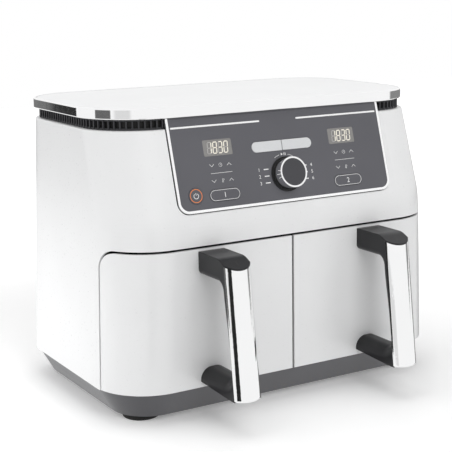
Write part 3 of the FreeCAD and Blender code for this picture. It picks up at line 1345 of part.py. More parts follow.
def add_handles():
    top, bottom = "places.handle_top", "places.handle_bottom"
    arm = "(places.handle_top - sizes.handle_arm)"
    foot = "(places.handle_bottom + sizes.handle_foot)"
    above_cover = over_slope("cap_zone", top, "sizes.cap_edge")
    cap = common("handle_cap", cover_block("cap_block", arm, top), above_cover)
    joined = fuse("handle_joined", handle_body(top, arm, foot, bottom), cap)
    joined.Refine = True
    whole = cut("handle_whole", joined, over_slope("cap_slope", top, "0"))

    front, width, floor, roof, arm_z = [
        value(name) for name in ("places.front", "sizes.handle_width", bottom, top, arm)
    ]
    clear = value("sizes.handle_grip") / 2
    knee = value(f"{handle_y(top)} - sizes.trim_bulge + sizes.cap_start")
    fall = value("sizes.cap_fall / sizes.cap_start")

    def in_loop(edge):
        """A corner of the finger loop: it spans the handle, clear of the drawer and of the toe."""
        middle = edge.CenterOfMass
        spans = edge.BoundBox.XLength > width - TOUCH
        return spans and middle.y < front - clear and floor + clear < middle.z < arm_z + TOUCH

    def at_knee(edge):
        """Where the handle's flat top meets its slope."""
        room = edge.BoundBox
        return room.XLength > width - TOUCH and room.ZMin > roof - TOUCH and abs(room.YMin - knee) < TOUCH

    def round_top(edge):
        """The outline of the handle's top, both flat and falling, but not what crosses it."""
        middle = edge.CenterOfMass
        surface = min(roof, roof - (knee - middle.y) * fall)
        room = edge.BoundBox
        sunk = surface - middle.z > edge_height / 2 or room.ZLength > room.XLength + room.YLength
        crosses = room.XLength > width - TOUCH and room.YLength < TOUCH
        return not sunk and not crosses and middle.y < front - TOUCH

    edge_height = value("sizes.cap_edge")
    bent = fillet("handle_bent", whole, "sizes.cap_bend", at_knee)
    loop = fillet("handle_loop", bent, "sizes.handle_round", in_loop)
    inner = fillet("handle_inner", loop, "sizes.handle_soft", lambda edge: False)
    inner.Edges = inner_radii(loop.Shape, front, arm_z, value(foot))
    soft = fillet("handle_edges", inner, "sizes.cap_soft", round_top)
    pilots = at_handle_screws(
        "handle_pilot", through("places.front - sizes.handle_screw", "places.front"),
        "sizes.screw_radius + sizes.running_gap",
    )
    pair("handle_grip", cut("handle_bored", soft, *pilots))
    above_cover = over_slope("trim_zone", top, "sizes.cap_edge")
    cover = cut("trim_sloped", cover_block("trim_block", bottom, top), above_cover)
    pair("handle_trim", fillet(
        "trim_edges", cover, "sizes.trim_toe",
        lambda edge: edge.BoundBox.ZMax < floor + TOUCH and edge.BoundBox.YLength > TOUCH,
    ))


# ---------------------------------------------------------------- control panel, in its own frame
ZONE_KEY = ("sizes.zone_key_y", "sizes.zone_key_width", "sizes.zone_key_height")
KEYS = {
    "power_key": ("-places.power_x", "sizes.power_y", "2 * sizes.power_radius", "2 * sizes.power_radius"),
    "zone_key_1": ("-places.display_x", *ZONE_KEY),
    "zone_key_2": ("places.display_x", *ZONE_KEY),
}
PILL_KEYS = {"sync_key": "-", "match_key": ""}
SIDES = {"left": "-", "right": ""}
# a round end's radius per unit of height; a full half would leave an edge of no length
ROUND_END = 0.499


def lozenge(drawing, x, y, width, height, grow="0"):
    """A rectangle with nearly half-round ends."""
    corner = f"{ROUND_END} * (({height}) + 2 * ({grow}))"
    return outline(drawing, *centred(x, y, width, height, grow), corner)


def pill_half(drawing, sign, grow="0"):
    """Half of the twin key, round at its outer end only."""
    near = f"(sizes.pill_split / 2 - ({grow}))"
    far = f"(places.pill_half + ({grow}))"
    tight, full = "sizes.pill_corner", f"{ROUND_END} * (sizes.pill_height + 2 * ({grow}))"
    reach = f"(sizes.pill_height / 2 + ({grow}))"
    y = (f"sizes.pill_y - {reach}", f"sizes.pill_y + {reach}")
    if sign:
        return outline(drawing, (f"-{far}", f"-{near}"), y, full, tight, tight, full)
    return outline(drawing, (near, far), y, tight, full, full, tight)


def panel_outline(drawing, inset, top="places.panel_length"):
    half = f"(places.panel_half - ({inset}))"
    corner = f"sizes.panel_corner - ({inset})"
    return outline(drawing, (f"-{half}", half), (inset, top), corner, "sizes.panel_top_corner")


def display_area(sign, grow="0"):
    """A display window's ranges, made larger by grow."""
    return centred(
        f"{sign}places.display_x", "sizes.display_y", "sizes.display_width", "sizes.display_height", grow,
    )


def bar_area(sign, grow="0"):
    """A light bar's ranges, made larger by grow."""
    middle = f"{sign}(sizes.bar_inner + places.bar_outer) / 2"
    return centred(middle, "sizes.bar_y", "places.bar_outer - sizes.bar_inner", "sizes.bar_width", grow)


def dial_disc(body, name, low, radius, height):
    """A round step on the dial's axis, up from a level of the panel's frame."""
    return pad(body, circle(body_sketch(body, name, "XY", low), "0", "sizes.dial_y", radius), height)


def dial_bore(body, name, top, radius, depth):
    """A round hole on the dial's axis, cut down from a level."""
    return pocket(body, circle(body_sketch(body, name, "XY", top), "0", "sizes.dial_y", radius), depth)


def key_stems():
    """Every place on the control board that a key presses."""
    for x, y, _, _ in KEYS.values():
        yield x, y
    for sign in PILL_KEYS.values():
        yield f"{sign}places.pill_half / 2", "sizes.pill_y"


def key_stack(name, draw, flange, stem):
    """A key: a flange behind the fascia, a cap through it, and a stem that reaches for its switch."""
    body = make_body(f"{name}_body", PANEL_FRAME)
    flange_top = "-(sizes.fascia_depth + sizes.face_gap)"
    flange_low = f"({flange_top} - sizes.key_sheet)"
    stem_low = "-(sizes.board_depth - sizes.stem_gap)"
    pad(body, draw(body_sketch(body, f"{name}_flange", "XY", flange_low), flange), "sizes.key_sheet")
    doc.recompute()
    cap = draw(body_sketch(body, f"{name}_cap", "XY", flange_top), "0")
    pad(body, cap, f"sizes.key_proud - ({flange_top})")
    doc.recompute()
    stem_sketch = circle(body_sketch(body, f"{name}_stem", "XY", stem_low), *stem, "sizes.stem_radius")
    pad(body, stem_sketch, f"{flange_low} - ({stem_low})")
    return node(name, body)


def add_keys():
    stems = key_stems()
    for name, (x, y, width, height) in KEYS.items():
        def draw(drawing, grow, x=x, y=y, width=width, height=height):
            return lozenge(drawing, x, y, width, height, grow)
        key_stack(name, draw, "sizes.key_flange", next(stems))
    for name, sign in PILL_KEYS.items():
        def draw(drawing, grow, sign=sign):
            return pill_half(drawing, sign, grow)
        key_stack(name, draw, "sizes.pill_flange", next(stems))


def key_holes(drawing, grow, pill_grow):
    """The outlines of all keys, made larger by grow."""
    for x, y, width, height in KEYS.values():
        lozenge(drawing, x, y, width, height, grow)
    lozenge(drawing, "0", "sizes.pill_y", "2 * places.pill_half", "sizes.pill_height", pill_grow)


def add_fascia():
    front, back = "sizes.fascia_proud", "-sizes.fascia_depth"
    gap = "sizes.nest_gap"
    fascia = make_body("fascia", PANEL_FRAME)
    edge = panel_outline(body_sketch(fascia, "fascia_outline", "XY", back), f"sizes.bezel_width + {gap}")
    pad(fascia, edge, f"{front} - ({back})")
    holes = body_sketch(fascia, "fascia_holes", "XY", front)
    for sign in SIDES.values():
        outline(holes, *display_area(sign, gap), f"sizes.display_corner + {gap}")
        outline(holes, *bar_area(sign, gap), f"sizes.bar_corner + {gap}")
    key_holes(holes, "sizes.key_gap", "sizes.key_gap")
    circle(holes, "0", "sizes.dial_y", "sizes.bushing_radius + sizes.face_gap")
    pocket(fascia, holes, f"{front} - ({back}) + sizes.overlap")
    node("fascia_panel", fascia)


def add_bezel():
    front, back = "sizes.bezel_proud", "-sizes.fascia_depth"
    bezel = make_body("bezel", PANEL_FRAME)
    pad(bezel, panel_outline(body_sketch(bezel, "bezel_outline", "XY", back), "0"), f"{front} - ({back})")
    inner = body_sketch(bezel, "bezel_inner", "XY", front)
    panel_outline(inner, "sizes.bezel_width", "places.panel_length + sizes.bezel_width")
    pocket(bezel, inner, f"{front} - ({back}) + sizes.overlap")
    node("fascia_bezel", bezel)


def add_carrier():
    """The moulding behind the fascia: a flange behind the shell, a raised step and board posts."""
    low, back = "-sizes.carrier_depth", "-sizes.fascia_depth"
    lap, inset = "sizes.carrier_lap", "sizes.carrier_post_inset"
    carrier = make_body("carrier", PANEL_FRAME)
    half = f"(places.panel_half + {lap})"
    area = ((f"-{half}", half), (f"-{lap}", "places.panel_length - sizes.carrier_short"))
    flange = "sizes.carrier_depth - sizes.shell_wall"
    slab(carrier, "carrier_flange", low, area, "sizes.carrier_corner", flange)
    doc.recompute()
    step = panel_outline(body_sketch(carrier, "carrier_step", "XY", low), "sizes.carrier_inset")
    pad(carrier, step, "sizes.carrier_depth - sizes.fascia_depth")
    doc.recompute()
    posts = body_sketch(carrier, "carrier_posts", "XY", "-sizes.board_depth")
    for sign in SIDES.values():
        for y in (inset, f"places.panel_length - {inset}"):
            circle(posts, f"{sign}(places.panel_half - {inset})", y, "sizes.carrier_post")
    pad(carrier, posts, "sizes.board_depth - sizes.carrier_depth + sizes.overlap / 2")
    wells = body_sketch(carrier, "carrier_wells", "XY", back)
    for sign in SIDES.values():
        area = display_area(sign, "sizes.lens_flange + sizes.face_gap")
        outline(wells, *area, "sizes.lens_corner + sizes.face_gap")
    key_holes(wells, "sizes.key_flange + sizes.key_gap", "sizes.pill_flange + sizes.key_gap")
    encoder = centred("0", "sizes.dial_y", "sizes.encoder_size", "sizes.encoder_size", "sizes.face_gap")
    outline(wells, *encoder, "sizes.encoder_corner + sizes.face_gap")
    pocket(carrier, wells, "sizes.carrier_depth - sizes.fascia_depth + sizes.overlap")
    node("panel_carrier", carrier)


def add_lenses():
    front, back, sheet = "sizes.fascia_proud", "-sizes.fascia_depth", "sizes.lens_sheet"
    lenses, bars = [], []
    for side, sign in SIDES.items():
        lens = make_body(f"lens_{side}", PANEL_FRAME)
        flange = display_area(sign, "sizes.lens_flange")
        slab(lens, f"lens_flange_{side}", f"({back} - {sheet})", flange, "sizes.lens_corner", sheet)
        doc.recompute()
        face = f"{front} - sizes.lens_sink - ({back})"
        slab(lens, f"lens_face_{side}", back, display_area(sign), "sizes.display_corner", face)
        lenses.append(lens)
        bar = make_body(f"bar_{side}", PANEL_FRAME)
        slab(bar, f"bar_outline_{side}", back, bar_area(sign), "sizes.bar_corner", f"{front} - ({back})")
        bars.append(bar)
    node("display_windows", group("windows", *lenses))
    node("light_bars", group("bars", *bars))


def add_control_board():
    front = "-sizes.board_depth"
    half = "(places.panel_half - sizes.board_side)"
    area = ((f"-{half}", half), ("sizes.board_foot", "places.panel_length - sizes.board_head"))
    board = make_body("board", PANEL_FRAME)
    slab(board, "board_outline", f"{front} - sizes.board_thickness", area, "sizes.board_corner",
         "sizes.board_thickness")
    pieces = [board]
    module = "sizes.board_depth - sizes.fascia_depth - sizes.lens_sheet - sizes.face_gap"
    for side, sign in SIDES.items():
        display = make_body(f"digits_{side}", PANEL_FRAME)
        slab(display, f"digits_outline_{side}", front, display_area(sign), "sizes.display_corner", module)
        pieces.append(display)
    for index, place in enumerate(key_stems()):
        dome = make_body(f"dome_{index}", PANEL_FRAME)
        drawing = body_sketch(dome, f"dome_outline_{index}", "XY", front)
        pad(dome, circle(drawing, *place, "sizes.dome_radius"), "sizes.dome_height")
        pieces.append(dome)
    chip = make_body("chip", PANEL_FRAME)
    area = centred("(-sizes.chip_x)", "sizes.dial_y", "sizes.chip_size", "sizes.chip_size")
    slab(chip, "chip_outline", front, area, "sizes.chip_corner", "sizes.chip_height")
    pieces.append(chip)
    node("control_board", group("board_group", *pieces))


# ---------------------------------------------------------------- dial
def add_dial():
    floor = "-sizes.board_depth"
    case_top = "(-sizes.fascia_depth - sizes.nest_gap)"
    bushing_top = "(sizes.dial_lift + sizes.bushing_rise)"
    bushing_low = f"({case_top} - sizes.overlap / 2)"
    well_top = f"({floor} + sizes.encoder_well)"
    plunger_low = f"({floor} + sizes.face_gap + sizes.dial_travel)"
    shaft_low = f"({plunger_low} + sizes.plunger_thickness + sizes.running_gap)"
    shaft_top = "(sizes.dial_height - sizes.shaft_short)"
    relief_top = f"({bushing_top} + sizes.bushing_room)"
    face_radius = "(sizes.dial_radius - sizes.dial_rim)"
    bore_depth = f"{bushing_top} - ({floor}) + sizes.overlap"

    case = make_body("encoder", PANEL_FRAME)
    square = centred("0", "sizes.dial_y", "sizes.encoder_size", "sizes.encoder_size")
    slab(case, "encoder_block", floor, square, "sizes.encoder_corner", f"{case_top} - ({floor})")
    doc.recompute()
    bushing = f"{bushing_top} - {bushing_low}"
    dial_disc(case, "encoder_bushing", bushing_low, "sizes.bushing_radius", bushing)
    dial_bore(case, "encoder_bore", bushing_top, "sizes.shaft_radius + sizes.running_gap", bore_depth)
    dial_bore(case, "encoder_hollow", well_top, "sizes.plunger_radius + sizes.key_gap",
              "sizes.encoder_well + sizes.overlap")
    node("encoder_case", case)

    plunger = make_body("plunger", PANEL_FRAME)
    dial_disc(plunger, "plunger_disc", plunger_low, "sizes.plunger_radius", "sizes.plunger_thickness")
    node("encoder_plunger", plunger)

    shaft = make_body("dial_shaft_body", PANEL_FRAME)
    dial_disc(shaft, "dial_shaft_disc", shaft_low, "sizes.shaft_radius", f"{shaft_top} - {shaft_low}")
    node("dial_shaft", shaft)

    knob = make_body("knob", PANEL_FRAME)
    rise = "sizes.dial_height - sizes.dial_lift"
    dial_disc(knob, "knob_disc", "sizes.dial_lift", "sizes.dial_radius", rise)
    dial_bore(knob, "knob_relief", relief_top, "sizes.bushing_radius + sizes.relief_gap",
              f"{relief_top} - sizes.dial_lift + sizes.overlap")
    socket = f"{shaft_top} - {relief_top} + sizes.overlap"
    dial_bore(knob, "knob_bore", shaft_top, "sizes.shaft_radius", socket)
    dial_bore(knob, "knob_face_well", "sizes.dial_height", face_radius, "sizes.dial_inlay")
    node("dial_knob", knob)

    face = make_body("face", PANEL_FRAME)
    dial_disc(face, "face_disc", "sizes.dial_height - sizes.dial_inlay", face_radius,
              "sizes.dial_inlay - sizes.inlay_sink")
    node("dial_face", face)

    collar = make_body("collar", PANEL_FRAME)
    rise = "sizes.collar_height - sizes.fascia_proud"
    dial_disc(collar, "collar_disc", "sizes.fascia_proud", "sizes.collar_radius", rise)
    dial_bore(collar, "collar_hole", "sizes.collar_height", "sizes.dial_radius + sizes.dial_gap",
              f"{rise} + sizes.overlap")
    node("dial_collar", collar)


# ---------------------------------------------------------------- small parts
def add_gland():
    x, z = "sizes.gland_x", "places.gland_z"
    wall = back_at(z)
    inner, outer = f"{wall} - sizes.gland_length", f"{wall} + sizes.gland_flange"
    rim = cylinder("gland_rim", x, (wall, outer), z, "sizes.gland_radius + sizes.gland_lap", "Y")
    tube = cylinder(
        "gland_tube", x, (inner, f"{wall} + sizes.gland_flange / 2"), z,
        "sizes.gland_radius - sizes.running_gap", "Y",
    )
    bore = cylinder("gland_bore", x, through(inner, outer), z, "sizes.cord_hole", "Y")
    trimmed = cut("gland_cap", rim, form("gland_trim", "0", "sizes.base_top", "places.rim_height"))
    node("cord_gland", cut("gland", fuse("gland_solid", trimmed, tube), bore))


def add_housing_screws():
    low = "sizes.foot_height"
    heads = at_posts("base_screw_head", (f"{low} + sizes.head_sink", f"{low} + sizes.screw_head_height"),
                     "sizes.screw_head")
    shanks = at_posts("base_screw_shank", (f"{low} + sizes.overlap", f"{low} + sizes.base_screw"),
                      "sizes.screw_radius")
    screws = [fuse(f"base_screw_{index}", *both) for index, both in enumerate(zip(heads, shanks))]
    node("housing_screws", group("base_screws", *screws))


# ---------------------------------------------------------------- build, check and write
def main():
    for build in (
        add_shell, add_rear_cover, add_base, add_lid, add_intake, add_front_frame, add_cavities,
        add_runners, add_switches, add_heaters, add_deck, add_rotors, add_power_board,
        add_drawer_fronts, add_backplates, add_baskets, add_crispers, add_handles, add_keys,
        add_fascia, add_bezel, add_carrier, add_lenses, add_control_board, add_dial, add_gland,
        add_housing_screws,
    ):
        build()
    doc.recompute()
    faults = [item.Name for item in doc.Objects if "Invalid" in item.State or "Error" in item.State]
    for name, piece in parts.items():
        if piece.Shape.isNull() or not piece.Shape.isValid() or not piece.Shape.Solids:
            faults.append(name)
    if faults:
        raise ValueError(f"not sound: {faults}")
    os.makedirs("parts", exist_ok=True)
    for name, piece in parts.items():
        piece.Shape.exportStep(os.path.join("parts", f"{name}.step"))
        print(f"{name:26s} {len(piece.Shape.Solids)} solids, {piece.Shape.Volume / 1000:9.1f} cm3")
    print(len(parts), "nodes")


main()
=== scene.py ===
# %% [markdown]
# # A double-drawer air fryer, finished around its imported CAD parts
#
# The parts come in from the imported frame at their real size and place, in metres, with +X to the
# right, -Y out of the drawer fronts and +Z up. This file never moves them. It gives every part its
# finish, adds the small things that are printed, lit or ribbed, and sets up light and camera.
# Each step says first what the piece is on the real appliance, then how it is made here and why.

# %% Load the frame
import json
import math

import bpy
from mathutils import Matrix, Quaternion, Vector


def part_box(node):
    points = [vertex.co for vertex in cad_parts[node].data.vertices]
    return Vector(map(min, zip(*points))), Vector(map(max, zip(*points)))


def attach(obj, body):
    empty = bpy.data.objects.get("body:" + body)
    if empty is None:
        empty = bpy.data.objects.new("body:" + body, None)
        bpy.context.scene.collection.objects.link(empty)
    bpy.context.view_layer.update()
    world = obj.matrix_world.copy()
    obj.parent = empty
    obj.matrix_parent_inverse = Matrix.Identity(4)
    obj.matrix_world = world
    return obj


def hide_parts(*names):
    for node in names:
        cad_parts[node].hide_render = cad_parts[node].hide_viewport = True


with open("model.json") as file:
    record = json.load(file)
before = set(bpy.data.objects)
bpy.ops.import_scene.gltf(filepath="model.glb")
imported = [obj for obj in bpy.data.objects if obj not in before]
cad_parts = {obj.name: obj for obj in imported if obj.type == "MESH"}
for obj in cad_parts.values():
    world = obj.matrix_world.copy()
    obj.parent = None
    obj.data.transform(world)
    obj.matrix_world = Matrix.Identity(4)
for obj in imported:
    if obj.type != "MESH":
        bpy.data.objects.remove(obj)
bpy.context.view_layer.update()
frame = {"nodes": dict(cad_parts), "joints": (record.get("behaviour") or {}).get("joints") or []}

MM = 0.001
NODES = frame["nodes"]


def put(name, data):
    """A new object that holds a mesh, curve, text, lamp or camera, linked into the scene."""
    holder = bpy.data.objects.new(name, data)
    bpy.context.scene.collection.objects.link(holder)
    return holder


# %% [markdown]
# ## The panel's own axes
#
# The control panel leans back, so everything on it is easier to place in the panel's own
# directions: u to the right, v up the slope and h out of the face. The dial turns about the
# panel's normal, so its joint already gives both the middle of the dial and the direction of h.
# Measuring a part along u, v and h then replaces any guess about the slope.

# %% Panel axes from the dial's joint
dial_joint = next(joint for joint in frame["joints"] if joint["name"] == "dial_rotate")
DIAL = Vector(dial_joint["pos_m"])
OUT = Vector(dial_joint["axis"]).normalized()
RIGHT = Vector((1.0, 0.0, 0.0))
UP = OUT.cross(RIGHT)


def on_panel(u, v, h):
    """The point at u, v and h millimetres from the dial's middle."""
    return DIAL + (RIGHT * u + UP * v + OUT * h) * MM


def panel_size(node, above=-math.inf):
    """Lowest and highest u, v, h of a part, in millimetres, of its points over a height h."""
    rows = []
    for vertex in NODES[node].data.vertices:
        offset = (vertex.co - DIAL) / MM
        row = (offset.dot(RIGHT), offset.dot(UP), offset.dot(OUT))
        if row[2] > above:
            rows.append(row)
    return [min(column) for column in zip(*rows)], [max(column) for column in zip(*rows)]


FACE = panel_size("fascia_panel")[1][2]
print("panel leans back by", round(math.degrees(math.asin(OUT.z)), 1), "degrees")
print("its face is", round(FACE, 2), "mm from the dial's middle")

# %% [markdown]
# ## How a finish is built
#
# Plastic, plate and coating all share one recipe. Two close tones are mixed by a wide, soft noise,
# because no moulding is exactly even. A finer grain lifts the surface with a bump and makes the
# gloss vary a little from place to place. The noise reads object coordinates, so the grain has a
# real size in metres and stays put when a drawer is pulled out. Numbers that are the same all over
# go straight on the shader's sockets.

# %% Helpers for materials
NOISE_LOW, NOISE_HIGH = 0.3, 0.7    # most of a noise lies between these
CLOUD_SCALE = 14.0                  # soft clouds of tone to the metre


def add(tree, kind, settings=None, **inputs):
    """A node with its settings, and its inputs by name; a socket as a value is linked."""
    node = tree.nodes.new(kind)
    for name, value in (settings or {}).items():
        setattr(node, name, value)
    for name, value in inputs.items():
        numbered = name[1:].isdigit()
        socket = node.inputs[int(name[1:]) if numbered else name.replace("_", " ")]
        if isinstance(value, bpy.types.NodeSocket):
            tree.links.new(value, socket)
        else:
            socket.default_value = value
    return node


def grain(tree, scale, detail=2.0, stretch=(1.0, 1.0, 1.0)):
    """A noise in object coordinates, with about scale bumps to the metre."""
    place = add(tree, "ShaderNodeTexCoord").outputs["Object"]
    turned = add(tree, "ShaderNodeMapping", Vector=place, Scale=stretch).outputs["Vector"]
    return add(tree, "ShaderNodeTexNoise", Vector=turned, Scale=scale, Detail=detail).outputs["Fac"]


def maths(tree, operation, first, second):
    """One operation on two values."""
    node = add(tree, "ShaderNodeMath", {"operation": operation}, _0=first, _1=second)
    return node.outputs[0]


def spread(tree, value, start, end, low=0.0, high=1.0, shape="LINEAR"):
    """The value's range from start to end, spread from low to high."""
    node = add(
        tree, "ShaderNodeMapRange", {"interpolation_type": shape}, Value=value,
        From_Min=start, From_Max=end, To_Min=low, To_Max=high,
    )
    return node.outputs["Result"]


def between(tree, noise, low, high):
    """A noise's middle range spread from low to high."""
    return spread(tree, noise, NOISE_LOW, NOISE_HIGH, low, high)


def two_tones(tree, value, first, second):
    """One colour where the value is low and the other where it is high."""
    mix = add(tree, "ShaderNodeMix", {"data_type": "RGBA"})
    tree.links.new(value, mix.inputs[0])
    mix.inputs[6].default_value = (*first, 1.0)
    mix.inputs[7].default_value = (*second, 1.0)
    return mix.outputs[2]


def finish(
    name, tones, gloss, grain_scale, grain_height, stretch=(1, 1, 1), metal=0.0, **constants
):
    """A material from two tones, a range of roughness, and a grain to the metre and its height."""
    material = bpy.data.materials.new(name)
    material.use_nodes = True
    tree = material.node_tree
    shader = tree.nodes["Principled BSDF"]
    shader.inputs["Metallic"].default_value = metal
    for socket, value in constants.items():
        shader.inputs[socket.replace("_", " ")].default_value = value
    cloud = between(tree, grain(tree, CLOUD_SCALE), 0.0, 1.0)
    tree.links.new(two_tones(tree, cloud, *tones), shader.inputs["Base Color"])
    fine = grain(tree, grain_scale, detail=3.0, stretch=stretch)
    tree.links.new(between(tree, fine, *gloss), shader.inputs["Roughness"])
    bump = add(tree, "ShaderNodeBump", Strength=1.0, Distance=grain_height, Height=fine)
    tree.links.new(bump.outputs["Normal"], shader.inputs["Normal"])
    return material


def shade(level, warmth=0.0):
    """A grey of that level, a little warm or cool."""
    return (level * (1 + warmth), level, level * (1 - warmth))


def slate(level):
    """A grey with a touch more blue, as dark tinted plastics have."""
    return (level, level, level * 1.12)


print("material helpers ready")

# %% [markdown]
# ## The white body
#
# The outer shell and the drawer fronts are white plastic with a satin lacquer. Lacquer shows a
# very shallow orange peel, a few millimetres from crest to crest, which softens reflections
# without looking rough. A thin coat over the base gives the clearer second gloss of lacquer.
# The lid's panel is the same white but finer and flatter, so it is less glossy.

# %% White finishes
shell_white = finish(
    "satin_white_lacquer", (shade(0.86, -0.004), shade(0.88, -0.004)), (0.27, 0.35), 420.0, 6e-6,
    Coat_Weight=0.25, Coat_Roughness=0.12,
)
lid_white = finish(
    "fine_white_lid", (shade(0.855, -0.004), shade(0.875, -0.004)), (0.38, 0.5), 2600.0, 8e-6,
)
print("white finishes:", shell_white.name, lid_white.name)

# %% [markdown]
# ## Bright plating
#
# The lid's band, the handle covers and the dial's rim are plated to a mirror. A perfect mirror
# looks unreal, so the roughness wanders between almost nothing and slightly misty, as it does
# where hands and cloths have been, and long fine hairlines run along the surface.

# %% Plated finishes
def plated(name, level, gloss, stretch):
    """A mirror plating with hairlines along the direction that is stretched."""
    return finish(
        name, (shade(level, -0.003), shade(level * 1.02, -0.003)), gloss, 900.0, 6e-7,
        stretch=stretch, metal=1.0,
    )


lid_plating = plated("mirror_plating_band", 0.9, (0.03, 0.075), (1.0, 1.0, 0.05))
handle_plating = plated("mirror_plating_handle", 0.9, (0.03, 0.08), (1.0, 1.0, 0.04))
dial_plating = plated("mirror_plating_dial", 0.88, (0.05, 0.11), (0.2, 1.0, 1.0))
bezel_plating = plated("bright_bezel_line", 0.95, (0.14, 0.2), (0.1, 1.0, 1.0))
print("plated finishes: 4")

# %% [markdown]
# ## Dark plastics
#
# Moulds for dark parts are spark-eroded, which leaves a fine, even grain of fractions of a
# millimetre. It is deeper on the base and the back, shallow on the handles, where hands rub it
# smooth, and almost gone on the panel's face, which is a hard printed film. Dark plastic reflects
# little, so its specular level is set below the usual one.

# %% Dark finishes
base_dark = finish(
    "satin_dark_base", (slate(0.058), slate(0.07)), (0.3, 0.42), 1500.0, 1.4e-5,
    Specular_IOR_Level=0.6,
)
back_dark = finish(
    "grained_dark_back", (shade(0.03, -0.02), shade(0.038, -0.02)), (0.45, 0.6), 1100.0, 3e-5,
    Specular_IOR_Level=0.4,
)
handle_dark = finish(
    "satin_dark_handle", (slate(0.012), slate(0.016)), (0.28, 0.38), 1800.0, 8e-6,
    Specular_IOR_Level=0.3,
)
fascia_grey = finish(
    "hard_grey_panel_film", (slate(0.105), slate(0.115)), (0.34, 0.42), 1600.0, 4e-6,
    Specular_IOR_Level=0.4,
)
key_grey = finish(
    "hard_grey_key_film", (slate(0.1), slate(0.109)), (0.32, 0.4), 1600.0, 4e-6,
    Specular_IOR_Level=0.4,
)
dial_grey = finish(
    "satin_dial_disc", (slate(0.045), slate(0.053)), (0.3, 0.38), 1400.0, 5e-6,
    Specular_IOR_Level=0.4,
)
vent_black = finish(
    "matt_black_intake", (shade(0.006), shade(0.01)), (0.4, 0.55), 1200.0, 2e-5,
    Specular_IOR_Level=0.4,
)
rib_grey = finish(
    "dark_grey_ribs", (slate(0.03), slate(0.04)), (0.35, 0.5), 1200.0, 1.5e-5,
    Specular_IOR_Level=0.4,
)
inner_black = finish(
    "plain_black_moulding", (shade(0.008), shade(0.012)), (0.45, 0.6), 900.0, 2.5e-5,
    Specular_IOR_Level=0.3,
)
foot_rubber = finish(
    "dusty_foot_rubber", (shade(0.014), shade(0.03, 0.02)), (0.7, 0.85), 700.0, 4e-5,
    Specular_IOR_Level=0.25,
)
bumper_silicone = finish(
    "soft_grey_silicone", (shade(0.07), shade(0.085)), (0.5, 0.62), 500.0, 2e-5,
    Specular_IOR_Level=0.35,
)
print("dark finishes: 11")

# %% [markdown]
# ## Pale keys, lenses and light guides
#
# The twin key under the light bars is pale silver, like metallic paint: its base is only partly
# metallic. The display windows are smoked lenses over a lit glass, which look grey-beige, and the
# light bars are milky plastic that carries light from end to end.

# %% Pale finishes
key_silver = finish(
    "pale_silver_key", (shade(0.7, -0.015), shade(0.74, -0.015)), (0.22, 0.3), 2200.0, 4e-6,
    Coat_Weight=0.3, Coat_Roughness=0.1,
)
window_lens = finish(
    "smoked_window_lens", (shade(0.21, 0.03), shade(0.235, 0.03)), (0.12, 0.18), 900.0, 2e-6,
    Coat_Weight=0.5, Coat_Roughness=0.03,
)
milky_guide = finish(
    "milky_light_guide", (shade(0.86), shade(0.89)), (0.3, 0.4), 1200.0, 3e-6,
    Emission_Color=(1.0, 0.99, 0.97, 1.0), Emission_Strength=0.12,
)
print("pale finishes: 3")

# %% [markdown]
# ## Metal and coating inside
#
# The cavities are aluminised sheet, the baskets and crisper plates carry a dark non-stick coating
# with a fine speckle, the heater tubes are blued by heat, and the fans are pressed steel. Rolled
# sheet is brushed along its length, so its grain is stretched many times over in one direction.

# %% Inner finishes
cavity_sheet = finish(
    "aluminised_sheet", (shade(0.5), shade(0.56)), (0.28, 0.42), 1400.0, 6e-6,
    stretch=(1.0, 0.03, 1.0), metal=1.0,
)
fan_steel = finish(
    "pressed_steel", (shade(0.5), shade(0.56)), (0.25, 0.36), 1200.0, 5e-6,
    stretch=(1.0, 0.1, 1.0), metal=1.0,
)
motor_zinc = finish(
    "zinc_plate", (shade(0.42, 0.02), shade(0.55, 0.0)), (0.35, 0.5), 320.0, 5e-6, metal=1.0,
)
screw_zinc = finish(
    "bright_zinc_screw", (shade(0.48, 0.03), shade(0.58, 0.0)), (0.24, 0.36), 1500.0, 4e-6,
    metal=1.0,
)
heater_steel = finish(
    "heat_blued_tube", ((0.24, 0.19, 0.14), (0.17, 0.18, 0.23)), (0.3, 0.45), 700.0, 5e-6,
    metal=1.0,
)
basket_coat = finish(
    "speckled_non_stick", (shade(0.022), shade(0.034)), (0.3, 0.45), 2600.0, 1.2e-5,
    Coat_Weight=0.15, Coat_Roughness=0.2,
)
print("inner finishes: 6")

# %% [markdown]
# ## Circuit boards
#
# A board is glass cloth under green lacquer, and copper tracks show through it as lighter green
# bands. A brick pattern laid over the plane of each board gives short tracks with gaps, which
# is enough for a part that only shows when the housing is opened.

# %% Board finish
TRACK_SCALE = 90.0
TRACK_WIDTH = 0.06
LACQUER = (0.012, 0.07, 0.03, 1.0)
LACQUER_LIGHTER = (0.016, 0.085, 0.036, 1.0)
TRACK = (0.035, 0.16, 0.06, 1.0)


def track_lines(material):
    """Draws copper tracks on a board's lacquer."""
    tree = material.node_tree
    place = add(tree, "ShaderNodeTexCoord").outputs["Object"]
    brick = add(
        tree, "ShaderNodeTexBrick", Vector=place, Scale=TRACK_SCALE, Mortar_Size=TRACK_WIDTH,
        Color1=LACQUER, Color2=LACQUER_LIGHTER, Mortar=TRACK,
    )
    tree.links.new(brick.outputs["Color"], tree.nodes["Principled BSDF"].inputs["Base Color"])


board_green = finish(
    "green_board_lacquer", (shade(0.03), shade(0.04)), (0.25, 0.35), 900.0, 8e-6,
    Coat_Weight=0.3, Coat_Roughness=0.15,
)
track_lines(board_green)
print("board finish with tracks")

# %% [markdown]
# ## Dressing the parts
#
# Each part from the frame keeps its shape and only gets its finish. A plain table of finish to
# parts is easier to check against the real appliance than a call for each.

# %% Give every part its finish
SIDES = ("left", "right")


def both(*stems):
    """The left and right names of parts that come in pairs."""
    return [f"{stem}_{side}" for stem in stems for side in SIDES]


